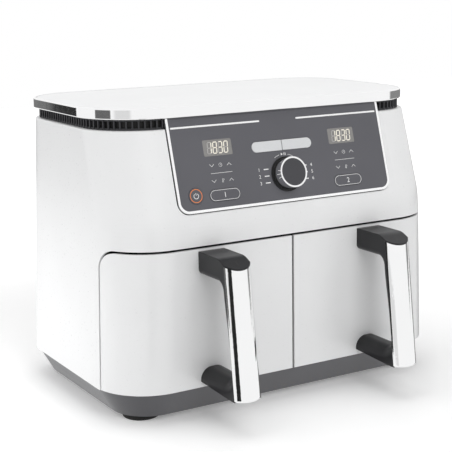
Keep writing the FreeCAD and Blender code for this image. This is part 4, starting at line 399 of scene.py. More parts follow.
WARDROBE = [
    (shell_white, ["outer_shell", *both("drawer_front")]),
    (lid_white, ["top_panel"]),
    (lid_plating, ["lid_trim_ring"]),
    (handle_plating, both("handle_trim")),
    (dial_plating, ["dial_knob"]),
    (bezel_plating, ["fascia_bezel"]),
    (base_dark, ["base_tray"]),
    (back_dark, ["rear_cover"]),
    (handle_dark, both("handle_grip")),
    (fascia_grey, ["fascia_panel"]),
    (key_grey, ["power_key", "zone_key_1", "zone_key_2"]),
    (dial_grey, ["dial_face"]),
    (vent_black, ["intake_vent_ring"]),
    (inner_black, [
        "front_frame", "drawer_runners", "drawer_switches", "panel_carrier", "encoder_plunger",
        "dial_collar", "cord_gland", *both("drawer_backplate", "cooling_fan"),
    ]),
    (foot_rubber, ["rubber_feet"]),
    (bumper_silicone, both("crisper_bumpers")),
    (key_silver, ["sync_key", "match_key"]),
    (window_lens, ["display_windows"]),
    (milky_guide, ["light_bars"]),
    (cavity_sheet, ["chassis_deck", *both("cavity_liner")]),
    (fan_steel, ["dial_shaft", *both("cooking_fan", "motor_shaft")]),
    (motor_zinc, ["fan_motors", "encoder_case"]),
    (screw_zinc, ["housing_screws", *both("handle_screws")]),
    (heater_steel, ["heater_coils", "temperature_probes"]),
    (basket_coat, both("basket", "crisper_plate")),
    (board_green, ["power_board", "control_board"]),
]
dressed = set()
for material, names in WARDROBE:
    for name in names:
        for slot in NODES[name].material_slots:
            slot.material = material
        dressed.add(name)
print("dressed:", len(dressed), "still bare:", sorted(set(NODES) - dressed))

# %% [markdown]
# ## Flat shapes for printed and lit marks
#
# Print on the panel is a film of ink a few hundredths of a millimetre thick. A picture texture
# would blur when seen close, so each mark is a very thin solid instead: an outline in u and v,
# lifted from the surface that carries it. Three outlines are enough for all of them: a filled
# loop, a band between two loops, and a pen stroke along a line of points.

# %% Outlines and thin solids
INK = 0.06           # thickness of a print, in millimetres
SHARPEST = 0.3       # a mitre stops growing where the cosine of half the turn is under this


def arc(u, v, radius, start, end, steps=16):
    """Points along an arc, with its angles in degrees, anticlockwise from the right."""
    turns = [math.radians(start + (end - start) * step / steps) for step in range(steps + 1)]
    return [(u + radius * math.cos(turn), v + radius * math.sin(turn)) for turn in turns]


def pill(u, v, width, height, steps=16):
    """A lozenge with round ends; a circle if it is as wide as high."""
    reach, radius = (width - height) / 2, height / 2
    right = arc(u + reach, v, radius, -90, 90, steps)
    return right + arc(u - reach, v, radius, 90, 270, steps)


def step_to(start, end):
    """The way from one point to another, of length one."""
    return Vector((end[0] - start[0], end[1] - start[1])).normalized()


def stroke(points, width):
    """A pen line of even width through a few points, mitred at its corners."""
    near, far = [], []
    last = len(points) - 1
    for index, (u, v) in enumerate(points):
        into = step_to(points[index - 1], (u, v)) if index else step_to((u, v), points[1])
        away = step_to((u, v), points[index + 1]) if index < last else into
        side = (into + away).normalized()
        side = Vector((side.y, -side.x)) * (width / 2 / max(SHARPEST, side.dot(into)))
        near.append((u + side.x, v + side.y))
        far.append((u - side.x, v - side.y))
    return near + far[::-1]


def prism(loop, base=FACE):
    """A print from an anticlockwise loop, lifted from its base."""
    count = len(loop)
    points = [(u, v, base) for u, v in loop] + [(u, v, base + INK) for u, v in loop]
    faces = [(i, (i + 1) % count, count + (i + 1) % count, count + i) for i in range(count)]
    faces.append(tuple(reversed(range(count))))
    faces.append(tuple(range(count, 2 * count)))
    return points, faces


def band(outer, inner, base=FACE):
    """A printed ring between two anticlockwise loops with as many points, lifted from its base."""
    count = len(outer)
    heights = (base, base + INK)
    points = [(u, v, h) for loop in (outer, inner) for h in heights for u, v in loop]
    faces = []
    for i in range(count):
        j = (i + 1) % count
        faces.append((i, j, count + j, count + i))
        faces.append((2 * count + j, 2 * count + i, 3 * count + i, 3 * count + j))
        faces.append((count + i, count + j, 3 * count + j, 3 * count + i))
        faces.append((j, i, 2 * count + i, 2 * count + j))
    return points, faces


def build(name, solids, material, body, place=on_panel):
    """One mesh from several thin solids, put in place and set on its body."""
    points, faces = [], []
    for solid_points, solid_faces in solids:
        start = len(points)
        points += [place(*point) for point in solid_points]
        faces += [tuple(start + index for index in face) for face in solid_faces]
    mesh = bpy.data.meshes.new(name)
    mesh.from_pydata(points, [], faces)
    mesh.materials.append(material)
    piece = put(name, mesh)
    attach(piece, body)
    print(f"{name}: {len(solids)} marks on {body}")
    return piece


# %% [markdown]
# ## Numerals
#
# The marks that a maker would letter are left bare here, or carry plain numbers. A numeral comes
# from Blender's own font as a text object, which is turned into a mesh straight away, so that its
# place goes into the mesh and the finished piece sits at the origin like every part of the frame.

# %% Numerals as thin solids
def numeral(text, u, v, size, base=FACE):
    """A number as a print centred on u and v, size millimetres high."""
    letters = bpy.data.curves.new("numeral", "FONT")
    letters.body = text
    letters.align_x = "CENTER"
    letters.align_y = "CENTER"
    letters.resolution_u = 4
    writer = put("numeral", letters)
    depsgraph = bpy.context.evaluated_depsgraph_get()
    mesh = bpy.data.meshes.new_from_object(writer.evaluated_get(depsgraph))
    heights = [vertex.co.y for vertex in mesh.vertices]
    scale = size / (max(heights) - min(heights))
    middle = (max(heights) + min(heights)) / 2
    flat = [(u + p.co.x * scale, v + (p.co.y - middle) * scale) for p in mesh.vertices]
    solid = raise_faces(flat, [tuple(face.vertices) for face in mesh.polygons], base)
    bpy.data.objects.remove(writer)
    bpy.data.curves.remove(letters)
    bpy.data.meshes.remove(mesh)
    return solid


def raise_faces(flat, faces, base):
    """A print from flat faces: a copy below, a copy above and walls along the open edges."""
    def turns_left(face):
        corners = [flat[index] for index in face]
        sides = zip(corners, corners[1:] + corners[:1])
        return sum(a[0] * b[1] - b[0] * a[1] for a, b in sides) > 0

    count = len(flat)
    upward = [face if turns_left(face) else tuple(reversed(face)) for face in faces]
    edges = dict.fromkeys(pair for face in upward for pair in zip(face, face[1:] + face[:1]))
    walls = [(a, b, count + b, count + a) for a, b in edges if (b, a) not in edges]
    lids = [tuple(count + index for index in face) for face in upward]
    floors = [tuple(reversed(face)) for face in upward]
    points = [(u, v, base) for u, v in flat] + [(u, v, base + INK) for u, v in flat]
    return points, walls + lids + floors


print("numerals ready, ink", INK, "mm thick")

# %% [markdown]
# ## Ink and light
#
# White ink is chalky and a little uneven. The lit digits and the ring round the power key give off
# light themselves, only just more than the ink reflects, so that they read as lit without a glow.

# %% Ink and light finishes
white_ink = finish("white_panel_ink", (shade(0.84), shade(0.88)), (0.45, 0.55), 3000.0, 2e-6)
dark_ink = finish("dark_mark_ink", (shade(0.01), shade(0.014)), (0.4, 0.5), 3000.0, 2e-6)
orange_light = finish(
    "orange_ring_light", ((0.72, 0.2, 0.055), (0.78, 0.23, 0.065)), (0.35, 0.45), 2500.0, 2e-6,
    Emission_Color=(0.9, 0.24, 0.05, 1.0), Emission_Strength=0.08,
)
digit_light = finish(
    "warm_digit_light", ((0.8, 0.76, 0.66), (0.86, 0.82, 0.72)), (0.4, 0.5), 2500.0, 1e-6,
    Emission_Color=(1.0, 0.93, 0.78, 1.0), Emission_Strength=0.18,
)
ghost_segment = finish(
    "unlit_digit_segment", (shade(0.36, 0.03), shade(0.4, 0.03)), (0.3, 0.4), 2500.0, 1e-6,
)
print("ink and light finishes: 5")

# %% [markdown]
# ## Marks round the dial
#
# Three ticks stand on each side of the dial, for six programmes, and a short word would follow
# each. The words are left off and a small number stands at each tick instead. Above the dial a
# start sign, a triangle and two bars, takes the place of curved lettering.

# %% Ticks, programme numbers and the start sign
TICK_NEAR, TICK_FAR = 21.3, 27.2
TICK_STEP = 7.2
TICK_WIDTH = 1.1
NUMBER_AT = 33.0
NUMBER_SIZE = 3.6
START_RADIUS = 21.6
TRIANGLE_BACK, TRIANGLE_TIP, TRIANGLE_HALF = -3.0, -0.6, 1.5
BARS_AT = (0.9, 2.5)
BAR_HALF, BAR_WIDTH = 1.4, 0.8
SWEEP_START, SWEEP_END = 14, 32    # degrees either side of the top
SWEEP_WIDTH = 0.45

ticks = []
for side in (-1, 1):
    for step in (-1, 0, 1):
        v = TICK_STEP * step
        ends = sorted((side * TICK_NEAR, side * TICK_FAR))
        ticks.append(prism(stroke([(ends[0], v), (ends[1], v)], TICK_WIDTH)))
build("programme_ticks", ticks, white_ink, "housing")

numbers = []
for column, side in enumerate((-1, 1)):
    for row in range(3):
        text = str(column * 3 + row + 1)
        numbers.append(numeral(text, side * NUMBER_AT, TICK_STEP * (1 - row), NUMBER_SIZE))
numbers.append(prism([
    (TRIANGLE_BACK, START_RADIUS - TRIANGLE_HALF), (TRIANGLE_TIP, START_RADIUS),
    (TRIANGLE_BACK, START_RADIUS + TRIANGLE_HALF),
]))
for u in BARS_AT:
    bar = [(u, START_RADIUS - BAR_HALF), (u, START_RADIUS + BAR_HALF)]
    numbers.append(prism(stroke(bar, BAR_WIDTH)))
for side in (-1, 1):
    sweep = arc(0, 0, START_RADIUS, 90 + side * SWEEP_START, 90 + side * SWEEP_END, steps=10)
    numbers.append(prism(stroke(sweep[::-1] if side < 0 else sweep, SWEEP_WIDTH)))
build("programme_numbers", numbers, white_ink, "housing")

# %% [markdown]
# ## Touch marks under each window
#
# Under each window there are two rows of touch marks, down and up, for time and for heat, with a
# line between the rows. The fascia is one sheet there and nothing travels, so these are print.
# Between the arrows stand a small clock and a small thermometer, which need no words.

# %% Arrows, lines, clocks and thermometers
ROWS = (17.2, 0.9)
LINE_V, LINE_HALF, LINE_WIDTH = 9.0, 12.8, 0.4
ARROW_AT = 10.3
ARROW_REACH, ARROW_RISE, ARROW_WIDTH = 2.6, 1.25, 0.42
CLOCK, CLOCK_FACE, HAND_WIDTH = 4.0, 3.4, 0.3
BULB, BULB_HOLE, BULB_DOWN = 1.9, 1.2, 1.1
STEM_WIDTH, SCALE_WIDTH, SCALE_STEP = 0.5, 0.25, 0.7
windows_low, windows_high = panel_size("display_windows")
key_low, key_high = panel_size("zone_key_2", above=FACE)
COLUMN = (key_low[0] + key_high[0]) / 2


def arrow(u, v, up):
    """An open arrowhead that points up or down."""
    rise = ARROW_RISE if up else -ARROW_RISE
    ends = (u - ARROW_REACH, v - rise), (u + ARROW_REACH, v - rise)
    return stroke([ends[0], (u, v + rise), ends[1]], ARROW_WIDTH)


def circle(u, v, outer, inner, base=FACE, steps=16):
    """A printed ring of two widths across."""
    return band(pill(u, v, outer, outer, steps), pill(u, v, inner, inner, steps), base)


def clock(u, v):
    """A dial with two hands, drawn in millimetres from its middle."""
    hands = stroke([(u, v + 1.15), (u, v), (u + 0.9, v - 0.5)], HAND_WIDTH)
    return [circle(u, v, CLOCK, CLOCK_FACE), prism(hands)]


def thermometer(u, v):
    """A bulb with a stem and three short lines beside it, in millimetres from its middle."""
    marks = [circle(u, v - BULB_DOWN, BULB, BULB_HOLE)]
    marks.append(prism(stroke([(u, v - 0.2), (u, v + 1.9)], STEM_WIDTH)))
    for step in range(3):
        level = v + 0.3 + SCALE_STEP * step
        marks.append(prism(stroke([(u + 0.9, level), (u + 2.0, level)], SCALE_WIDTH)))
    return marks


touch_marks = []
for side in (-1, 1):
    u = side * COLUMN
    for v in ROWS:
        touch_marks.append(prism(arrow(u - ARROW_AT, v, up=False)))
        touch_marks.append(prism(arrow(u + ARROW_AT, v, up=True)))
    line = [(u - LINE_HALF, LINE_V), (u + LINE_HALF, LINE_V)]
    touch_marks.append(prism(stroke(line, LINE_WIDTH)))
    touch_marks += clock(u, ROWS[0])
    touch_marks += thermometer(u, ROWS[1])
build("touch_marks", touch_marks, white_ink, "housing")

# %% [markdown]
# ## Keys
#
# The two zone keys are lozenges with a printed outline and their number, 1 or 2. The power key is
# round, with a lit orange ring and the usual sign of a broken circle and a bar. Each mark rides on
# its own key, so it goes in when the key is pressed.

# %% Key outlines, zone numbers and the power sign
UNDER_FACE = 0.05    # a cap's points reach down this far under the panel's face
OUTLINE_OUTER, OUTLINE_INNER = 1.0, 1.9
ZONE_NUMBER = 5.2
RING, RING_HOLE = 14.2, 14.2 - 1.5
SIGN_WIDTH, SIGN_RADIUS, SIGN_DOWN = 0.62, 2.7, 0.2
SIGN_GAP = (125, 415)
SIGN_BAR = (0.4, 3.1)


def cap(node):
    """Middle, width, height and face height of a key's cap."""
    low, high = panel_size(node, above=FACE - UNDER_FACE)
    middle = ((low[0] + high[0]) / 2, (low[1] + high[1]) / 2)
    return middle, high[0] - low[0], high[1] - low[1], high[2]


for number in (1, 2):
    (u, v), width, height, top = cap(f"zone_key_{number}")
    rim = band(
        pill(u, v, width - OUTLINE_OUTER, height - OUTLINE_OUTER),
        pill(u, v, width - OUTLINE_INNER, height - OUTLINE_INNER), top,
    )
    sign = numeral(str(number), u, v, ZONE_NUMBER, top)
    build(f"zone_key_mark_{number}", [rim, sign], white_ink, f"zone_button_{number}")

(u, v), _, _, top = cap("power_key")
ring = circle(u, v, RING, RING_HOLE, top, steps=32)
build("power_ring", [ring], orange_light, "power_button")
broken = stroke(arc(u, v - SIGN_DOWN, SIGN_RADIUS, *SIGN_GAP, steps=24), SIGN_WIDTH)
bar = stroke([(u, v + height) for height in SIGN_BAR], SIGN_WIDTH)
sign = [prism(broken, top), prism(bar, top)]
build("power_sign", sign, white_ink, "power_button")

# %% [markdown]
# ## Display digits
#
# Each window shows four digits of seven segments. A segment is a long hexagon with pointed
# ends, so that neighbours meet in a thin dark joint. Segments that aren't lit still show faintly
# on the real glass, so all seven are drawn and only the lit ones get the warm finish.

# %% Seven-segment digits
SEGMENTS = {
    "0": "abcdef", "1": "bc", "2": "abdeg", "3": "abcdg", "4": "bcfg",
    "5": "acdfg", "6": "acdefg", "7": "abc", "8": "abcdefg", "9": "abcdfg",
}
SHOWN = "1830"
DIGIT_WIDTH, DIGIT_HEIGHT = 4.3, 11.6
SEGMENT_WIDTH = 1.05
SEGMENT_GAP = 0.18
DIGIT_PITCH = 6.5
SLANT = 0.09


def segment(start, end):
    """A hexagon from start to end, a little short at both ends."""
    along = Vector(end) - Vector(start)
    length = along.length
    along.normalize()
    across = Vector((-along.y, along.x)) * (SEGMENT_WIDTH / 2)
    first = Vector(start) + along * SEGMENT_GAP
    last = Vector(start) + along * (length - SEGMENT_GAP)
    inset = along * (SEGMENT_WIDTH / 2)
    lower = [first, first + inset - across, last - inset - across]
    upper = [last, last - inset + across, first + inset + across]
    return [(point.x, point.y) for point in lower + upper]


def digit_segments():
    """The seven segments of a digit about its middle, by letter."""
    x, y = DIGIT_WIDTH / 2, DIGIT_HEIGHT / 2
    ends = {
        "a": ((-x, y), (x, y)), "b": ((x, 0), (x, y)), "c": ((x, -y), (x, 0)),
        "d": ((-x, -y), (x, -y)), "e": ((-x, -y), (-x, 0)), "f": ((-x, 0), (-x, y)),
        "g": ((-x, 0), (x, 0)),
    }
    return {letter: segment(*pair) for letter, pair in ends.items()}


lit, unlit = [], []
WINDOW_V = (windows_low[1] + windows_high[1]) / 2
lens_top = windows_high[2]
for side in (-1, 1):
    for index, figure in enumerate(SHOWN):
        middle = side * COLUMN + (index - 1.5) * DIGIT_PITCH
        for letter, loop in digit_segments().items():
            moved = [(middle + x + SLANT * y, WINDOW_V + y) for x, y in loop]
            on = letter in SEGMENTS[figure]
            (lit if on else unlit).append(prism(moved, lens_top))
build("lit_digits", lit, digit_light, "housing")
build("unlit_digits", unlit, ghost_segment, "housing")

# %% [markdown]
# ## Numbers on the handles
#
# Each handle carries the number of its drawer on the rounded end of its top, which falls towards
# the tip. The mark lies on that slope, so it is placed from the slope's start and its steepness.

# %% Drawer numbers
KNEE = 40.0                                    # from the handle's foot to where its top bends
SLOPE_FALL, SLOPE_RUN = 8.0, 18.0
SLOPE = math.atan2(SLOPE_FALL, SLOPE_RUN)
NUMBER_DOWN = 11.0                             # from the bend to the middle of the number
DRAWER_NUMBER = 6.5
for number, side in ((1, "left"), (2, "right")):
    low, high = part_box(f"handle_grip_{side}")
    knee = Vector(((low.x + high.x) / 2, high.y - KNEE * MM, high.z))

    def on_arm(u, v, h, knee=knee):
        """The point u to the right, v up the slope and h off it, from the middle of the number."""
        up = (v - NUMBER_DOWN) * MM
        level, rise = math.cos(SLOPE), math.sin(SLOPE)
        return knee + Vector((u * MM, up * level - h * MM * rise, up * rise + h * MM * level))

    mark = numeral(str(number), 0.0, 0.0, DRAWER_NUMBER, base=0.0)
    build(
        f"drawer_number_{number}", [mark], dark_ink, f"drawer_{side}", place=on_arm,
    )

# %% [markdown]
# ## The air intake under the lid
#
# Air for the fans goes in through a ring of fine upright ribs between the shell and the lid. The
# packed ring has the right outline but only coarse posts, so this step stands in for it. A path
# follows the outline from one side of the panel round the back to the other. Geometry Nodes sweep
# a lower and an upper rail along that path and set a rib at every pitch. Doing it with nodes
# keeps the ribs square to the path at the corners and lets the pitch be changed in one place.

# %% The ring's path
ring_low, ring_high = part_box("intake_vent_ring")
RING_WALL = 0.003
FRONT_CORNER, BACK_CORNER = 0.058, 0.048
CORNER_STEPS = 20
PANEL_GAP = 0.0012
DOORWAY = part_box("fascia_bezel")[1].x + PANEL_GAP


def ring_path(inset):
    """Points inside the ring's outline, from the panel's left edge round to its right edge."""
    west, east = ring_low.x + inset, ring_high.x - inset
    south, north = ring_low.y + inset, ring_high.y - inset
    front, back = FRONT_CORNER - inset, BACK_CORNER - inset
    points = [(-DOORWAY, south)]
    corners = (
        (west + front, south + front, front, 270, 180), (west + back, north - back, back, 180, 90),
        (east - back, north - back, back, 90, 0), (east - front, south + front, front, 0, -90),
    )
    for x, y, radius, start, end in corners:
        points += arc(x, y, radius, start, end, CORNER_STEPS)
    return points + [(DOORWAY, south)]


def path_object(name, points, z):
    """A poly curve through the points at a height."""
    curve = bpy.data.curves.new(name, "CURVE")
    curve.dimensions = "3D"
    line = curve.splines.new("POLY")
    line.points.add(len(points) - 1)
    for knot, (x, y) in zip(line.points, points):
        knot.co = (x, y, z, 1.0)
    return put(name, curve)


ring_middle = (ring_low.z + ring_high.z) / 2
ring = path_object("intake_ring", ring_path(RING_WALL / 2), ring_middle)
print("intake path:", len(ring.data.splines[0].points), "points at", round(ring_middle, 4))

# %% Nodes that sweep rails and set ribs
INTAKE_SIZES = {
    "Rib pitch": 0.0062, "Rib width": 0.0016, "Rib depth": 0.0024, "Ring height": 0.011,
    "Rail height": 0.0012, "Rail depth": 0.003,
}


def input_socket(group, name, kind, value):
    """A named input on a node group, with its default."""
    socket = group.interface.new_socket(name=name, in_out="INPUT", socket_type=kind)
    if value is not None:
        socket.default_value = value
    return socket.identifier


def intake_nodes():
    """The tree for the intake ring, and the identifiers of its inputs by name."""
    group = bpy.data.node_groups.new("intake_ring_nodes", "GeometryNodeTree")
    names = {"Path": input_socket(group, "Path", "NodeSocketGeometry", None)}
    for name, value in INTAKE_SIZES.items():
        names[name] = input_socket(group, name, "NodeSocketFloat", value)
    names["Finish"] = input_socket(group, "Finish", "NodeSocketMaterial", None)
    group.interface.new_socket(name="Ring", in_out="OUTPUT", socket_type="NodeSocketGeometry")
    given = add(group, "NodeGroupInput").outputs

    def offset_up(geometry, height, sign):
        lift = add(group, "ShaderNodeCombineXYZ", Z=maths(group, "MULTIPLY", height, sign))
        moved = add(group, "GeometryNodeTransform", Geometry=geometry, Translation=lift.outputs[0])
        return moved.outputs[0]

    rail_shape = add(
        group, "GeometryNodeCurvePrimitiveQuadrilateral", Width=given["Rail height"],
        Height=given["Rail depth"],
    )
    rail = add(
        group, "GeometryNodeCurveToMesh", Curve=given["Path"],
        Profile_Curve=rail_shape.outputs[0], Fill_Caps=True,
    )
    space = maths(group, "SUBTRACT", given["Ring height"], given["Rail height"])
    rail_at = maths(group, "MULTIPLY", space, 0.5)
    upper = offset_up(rail.outputs[0], rail_at, 1.0)
    lower = offset_up(rail.outputs[0], rail_at, -1.0)

    stops = add(group, "GeometryNodeResampleCurve", {"mode": "LENGTH"}, Curve=given["Path"])
    group.links.new(given["Rib pitch"], stops.inputs["Length"])
    rib_size = add(
        group, "ShaderNodeCombineXYZ", X=given["Rib width"], Y=given["Rib depth"],
        Z=given["Ring height"],
    )
    rib = add(group, "GeometryNodeMeshCube", Size=rib_size.outputs[0])
    tangent = add(group, "GeometryNodeInputTangent").outputs[0]
    upright = {"axis": "X", "pivot_axis": "Z"}
    turn = add(group, "FunctionNodeAlignRotationToVector", upright, Vector=tangent)
    ribs = add(
        group, "GeometryNodeInstanceOnPoints", Points=stops.outputs[0], Instance=rib.outputs[0],
        Rotation=turn.outputs[0],
    )
    every = add(group, "GeometryNodeJoinGeometry")
    for part in (lower, upper, ribs.outputs[0]):
        group.links.new(part, every.inputs[0])
    real = add(group, "GeometryNodeRealizeInstances", Geometry=every.outputs[0])
    coated = add(
        group, "GeometryNodeSetMaterial", Geometry=real.outputs[0], Material=given["Finish"],
    )
    add(group, "NodeGroupOutput", Ring=coated.outputs[0])
    return group, names


def settle(piece, group, names, values, name, body):
    """Runs the nodes on the piece, and keeps the plain mesh they make."""
    modifier = piece.modifiers.new("nodes", "NODES")
    modifier.node_group = group
    for label, value in values.items():
        modifier[names[label]] = value
    depsgraph = bpy.context.evaluated_depsgraph_get()
    mesh = bpy.data.meshes.new_from_object(piece.evaluated_get(depsgraph))
    bpy.data.objects.remove(piece)
    made = put(name, mesh)
    mesh.name = name
    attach(made, body)
    print(name, "faces:", len(mesh.polygons))
    return made


ring_nodes, ring_names = intake_nodes()
sizes = {"Ring height": ring_high.z - ring_low.z, "Finish": rib_grey}
intake = settle(ring, ring_nodes, ring_names, sizes, "intake_ribs", "housing")
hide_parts("intake_vent_ring")

# %% [markdown]
# ## A dark strip behind the ribs, painted shade
#
# Behind the ribs a real intake is dark, because a screen and the inside of the lid keep the light
# out. A thin black upright strip just inside the ribs stands in for that screen, and its black also
# paints the shade there; it hides the white shell inside.

# %% Dark strip: painted shade behind the ribs
SHADE_STRIP_GAP = 0.0008
SHADE_STRIP_WALL = 0.0006


def fence(points, low, high, thickness):
    """An upright strip along a path, with a little thickness towards the inside."""
    centre = Vector((0.0, sum(y for x, y in points) / len(points)))
    inner = []
    for x, y in points:
        inward = (centre - Vector((x, y))).normalized() * thickness
        inner.append((x + inward.x, y + inward.y))
    loop = points + inner[::-1]
    ends = len(loop)
    corners = [(x, y, low) for x, y in loop] + [(x, y, high) for x, y in loop]
    faces = [(i, ends + i, ends + (i + 1) % ends, (i + 1) % ends) for i in range(ends)]
    for i in range(len(points) - 1):
        quad = (i, i + 1, ends - 2 - i, ends - 1 - i)
        faces.append(quad)
        faces.append(tuple(ends + index for index in reversed(quad)))
    return corners, faces


# The strip's plain black is painted shade for the inside of the intake, as well as the screen.
shade_strip = fence(ring_path(RING_WALL + SHADE_STRIP_GAP), ring_low.z, ring_high.z, SHADE_STRIP_WALL)
build(
    "intake_shade_strip", [shade_strip], inner_black, "housing",
    place=lambda x, y, z: Vector((x, y, z)),
)

# %% [markdown]
# ## Floor and surroundings
#
# The appliance stands on a plain pale sweep. The floor is a real surface, so it takes the soft
# shadow under the base and throws light back up on to the lower walls. The camera also sees a
# little light of its own in the floor, more of it further out, so that the sweep runs into the
# white of the world without an edge. Mirrors don't see the floor at all.

# %% Floor
FLOOR_SIZE = 6.0
LIFT_START, LIFT_END = 0.4, 1.1      # metres from the middle of the floor
LIFT_NEAR, LIFT_FAR = 0.2, 0.65


def pale_floor():
    """A floor that looks white to the camera further out, and still takes shadows."""
    material = bpy.data.materials.new("pale_floor")
    material.use_nodes = True
    tree = material.node_tree
    shader = tree.nodes["Principled BSDF"]
    shader.inputs["Roughness"].default_value = 0.9
    shader.inputs["Specular IOR Level"].default_value = 0.1
    cloud = between(tree, grain(tree, scale=40.0), 0.0, 1.0)
    tones = two_tones(tree, cloud, shade(0.9), shade(0.92))
    tree.links.new(tones, shader.inputs["Base Color"])
    seen = add(tree, "ShaderNodeLightPath").outputs["Is Camera Ray"]
    place = add(tree, "ShaderNodeTexCoord").outputs["Object"]
    away = add(tree, "ShaderNodeVectorMath", {"operation": "LENGTH"}, _0=place).outputs["Value"]
    far = spread(tree, away, LIFT_START, LIFT_END, LIFT_NEAR, LIFT_FAR, "SMOOTHSTEP")
    shader.inputs["Emission Color"].default_value = (1.0, 1.0, 1.0, 1.0)
    tree.links.new(maths(tree, "MULTIPLY", seen, far), shader.inputs["Emission Strength"])
    return material


def sheet(name, corners, material):
    """A flat sheet with four corners."""
    mesh = bpy.data.meshes.new(name)
    mesh.from_pydata(corners, [], [(0, 1, 2, 3)])
    mesh.materials.append(material)
    return put(name, mesh)


half = FLOOR_SIZE / 2
around = [(-half, -half, 0.0), (half, -half, 0.0), (half, half, 0.0), (-half, half, 0.0)]
floor = sheet("floor", around, pale_floor())
floor.visible_glossy = False
print("floor:", FLOOR_SIZE, "m")

# %% [markdown]
# ## What the mirrors see
#
# A studio hangs dark cards beside a white sweep, because a mirror in an all-white room has no
# edges. Here the cards are written into the world by their direction and height, and only glossy
# rays see them. They stand just under eye level, where the lid's band looks, except one that is
# lower, for the handle covers. Between the cards the mirrors stay white.
#
# The camera sees a plain white world of strength 1. Soft light from the world is weaker than that
# and uneven, so the white body keeps its shading: it is brighter from the left, dimmed by a flag
# at the left front, and dimmer again from the far right.

# %% World with cards
BAND = (-8.2, -4.4)          # heights in degrees, as the lid's band sees them
HANDLES = (-26.0, -11.0)     # and as the handle covers do
CARD_EDGE = 0.8              # softness of a card's upper and lower edge, in degrees
CARDS = [
    # from and to, in degrees from the front towards the left; heights; darkness; edge in degrees
    (158.15, 205.0, BAND, 0.80, 0.15),
    (149.5, 158.0, BAND, 0.97, 0.15),
    (73.0, 101.0, BAND, 0.86, 1.2),
    (42.0, 62.0, BAND, 0.24, 7.0),
    (228.0, 272.0, BAND, 0.75, 6.0),
    (-92.0, -78.0, BAND, 0.75, 6.0),
    (216.0, 250.0, HANDLES, 0.9, 3.0),
]
ROOM_LIGHT, ROOM_SIDE = 0.8, 0.3
FLAG, FLAG_EDGE, FLAG_DARKNESS = (35.0, 60.0), 30.0, 0.75
FAR_RIGHT, FAR_RIGHT_EDGE, FAR_RIGHT_DARKNESS = (0.95, 2.0), 0.6, 0.7


def inside(tree, value, low, high, soft):
    """One between low and high, falling smoothly to nothing over a soft edge."""
    rising = spread(tree, value, low - soft, low, shape="SMOOTHSTEP")
    falling = spread(tree, value, high + soft, high, shape="SMOOTHSTEP")
    return maths(tree, "MULTIPLY", rising, falling)


def studio_world():
    """White for the camera, cards for mirrors, and softer plain light for everything else."""
    world = bpy.data.worlds.new("studio")
    world.use_nodes = True
    tree = world.node_tree
    way = add(tree, "ShaderNodeTexCoord").outputs["Generated"]
    split = add(tree, "ShaderNodeSeparateXYZ", Vector=way).outputs
    leftwards = maths(tree, "MULTIPLY", split["X"], -1.0)
    forwards = maths(tree, "MULTIPLY", split["Y"], -1.0)
    turn = maths(tree, "ARCTAN2", leftwards, forwards)
    turn = maths(tree, "MULTIPLY", turn, math.degrees(1.0))
    # the seam of the angle lies straight behind, so turn it to run from -90 to 270
    behind = maths(tree, "LESS_THAN", turn, -90.0)
    turn = maths(tree, "ADD", turn, maths(tree, "MULTIPLY", behind, 360.0))
    height = maths(tree, "MULTIPLY", maths(tree, "ARCSINE", split["Z"], 0.0), math.degrees(1.0))
    light = 1.0
    for start, end, heights, darkness, edge in CARDS:
        across = inside(tree, turn, start, end, edge)
        upright = inside(tree, height, *heights, CARD_EDGE)
        shadow = maths(tree, "MULTIPLY", maths(tree, "MULTIPLY", across, upright), darkness)
        light = maths(tree, "MULTIPLY", maths(tree, "SUBTRACT", 1.0, shadow), light)
    path = add(tree, "ShaderNodeLightPath").outputs
    plain = maths(tree, "MAXIMUM", path["Is Camera Ray"], path["Is Transmission Ray"])
    mirrored = maths(tree, "MULTIPLY", path["Is Glossy Ray"], light)
    rest = maths(tree, "SUBTRACT", 1.0, maths(tree, "MAXIMUM", plain, path["Is Glossy Ray"]))
    room = maths(tree, "ADD", ROOM_LIGHT, maths(tree, "MULTIPLY", split["X"], -ROOM_SIDE))
    for value, dim, edge, darkness in (
        (turn, FLAG, FLAG_EDGE, FLAG_DARKNESS),
        (split["X"], FAR_RIGHT, FAR_RIGHT_EDGE, FAR_RIGHT_DARKNESS),
    ):
        shadow = maths(tree, "MULTIPLY", inside(tree, value, *dim, edge), -darkness)
        room = maths(tree, "MULTIPLY", room, maths(tree, "ADD", shadow, 1.0))
    soft = maths(tree, "MULTIPLY", rest, room)
    strength = maths(tree, "ADD", maths(tree, "ADD", plain, mirrored), soft)
    background = tree.nodes["Background"]
    background.inputs["Color"].default_value = (1.0, 1.0, 1.0, 1.0)
    tree.links.new(strength, background.inputs["Strength"])
    bpy.context.scene.world = world


studio_world()
print("world with", len(CARDS), "cards")

# %% [markdown]
# ## A card for the handles
#
# The handle covers are bowed mirrors, and a card that stands close to the left one draws a dark
# line down its left side. It is near and low, so the lid's band doesn't see it. Only mirrors see
# this card, and it throws no shadow.

# %% Card beside the left handle
CARD_TURN = math.radians(52.0)
CARD_AWAY = 0.15
CARD_HALF = 0.032
CARD_TOP = 0.215
cover_low, cover_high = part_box("handle_trim_left")
cover = Vector(((cover_low.x + cover_high.x) / 2, (cover_low.y + cover_high.y) / 2))
card_at = cover + CARD_AWAY * Vector((-math.sin(CARD_TURN), -math.cos(CARD_TURN)))
across = CARD_HALF * Vector((math.cos(CARD_TURN), -math.sin(CARD_TURN)))
near, far = card_at - across, card_at + across
corners = [(*near, 0.0), (*far, 0.0), (*far, CARD_TOP), (*near, CARD_TOP)]
card = sheet("handle_card", corners, inner_black)
card.visible_camera = card.visible_diffuse = card.visible_shadow = False
print("card at", [round(value, 3) for value in card_at])

# %% [markdown]
# ## Lamps
#
# A large soft box high in front is the key light, and one overhead lights the lid. They are large,
# so their shadows have no edge. A small weak one low on the left lifts the foot of the left wall,
# which the others hardly reach. Only the surfaces they light show them: camera and mirrors don't.

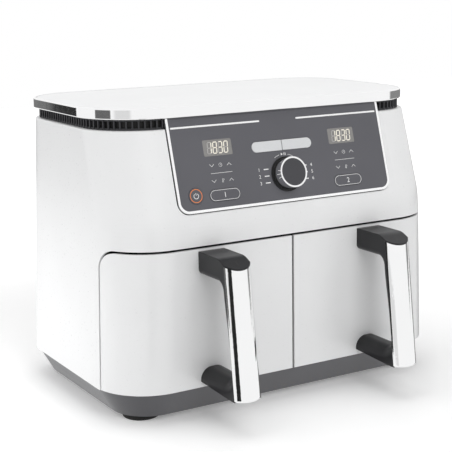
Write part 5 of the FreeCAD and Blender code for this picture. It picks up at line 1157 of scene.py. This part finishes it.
# %% Soft boxes
def soft_box(name, place, aim, size, watts):
    """A square area lamp that looks from one point at another."""
    lamp = bpy.data.lights.new(name, "AREA")
    lamp.size = size
    lamp.energy = watts
    holder = put(name, lamp)
    holder.location = place
    holder.rotation_euler = (Vector(aim) - Vector(place)).to_track_quat("-Z", "Y").to_euler()
    holder.visible_camera = holder.visible_glossy = False
    print(f"{name}: {watts} W, {size} m")


shell_low, shell_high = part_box("outer_shell")
middle = (shell_low + shell_high) / 2
soft_box("key_light", place=(-0.15, -1.9, 1.3), aim=middle, size=1.2, watts=12.0)
soft_box("top_light", place=(0.0, 0.1, 2.0), aim=middle, size=1.6, watts=9.0)
soft_box("low_light", place=(-0.42, 0.1, 0.03), aim=(-0.2, 0.08, 0.05), size=0.25, watts=0.3)

# %% [markdown]
# ## Camera
#
# The view is from the left front and a little above, as a product is usually shown, from about
# 1.4 m with a long lens, so that upright edges stay nearly upright.

# %% Camera
AZIMUTH = math.radians(-30.78)
HEIGHT_ANGLE = math.radians(12.27)
ROLL = math.radians(-0.9)
DISTANCE = 1.36
AIM_FORWARD, AIM_HEIGHT = 0.015, 0.16
aim = Vector((0.0, middle.y - AIM_FORWARD, AIM_HEIGHT))
back = Vector((
    math.sin(AZIMUTH) * math.cos(HEIGHT_ANGLE), -math.cos(AZIMUTH) * math.cos(HEIGHT_ANGLE),
    math.sin(HEIGHT_ANGLE),
))
lens = bpy.data.cameras.new("camera")
lens.lens = 93.85
lens.sensor_width = 36.0
lens.shift_x = -0.0204
lens.shift_y = 0.0228
camera = put("camera", lens)
camera.location = aim + back * DISTANCE
level = (-back).to_track_quat("-Z", "Y")
camera.rotation_mode = "QUATERNION"
camera.rotation_quaternion = level @ Quaternion((0.0, 0.0, 1.0), ROLL)
bpy.context.scene.camera = camera
bpy.context.scene.view_settings.view_transform = "Standard"
print("camera at", [round(value, 3) for value in camera.location])

# %% A helper that rounds a box's corners
def plain(corners):
    """A box's corners as plain rounded numbers."""
    return [[round(float(value), 6) for value in corner] for corner in corners]
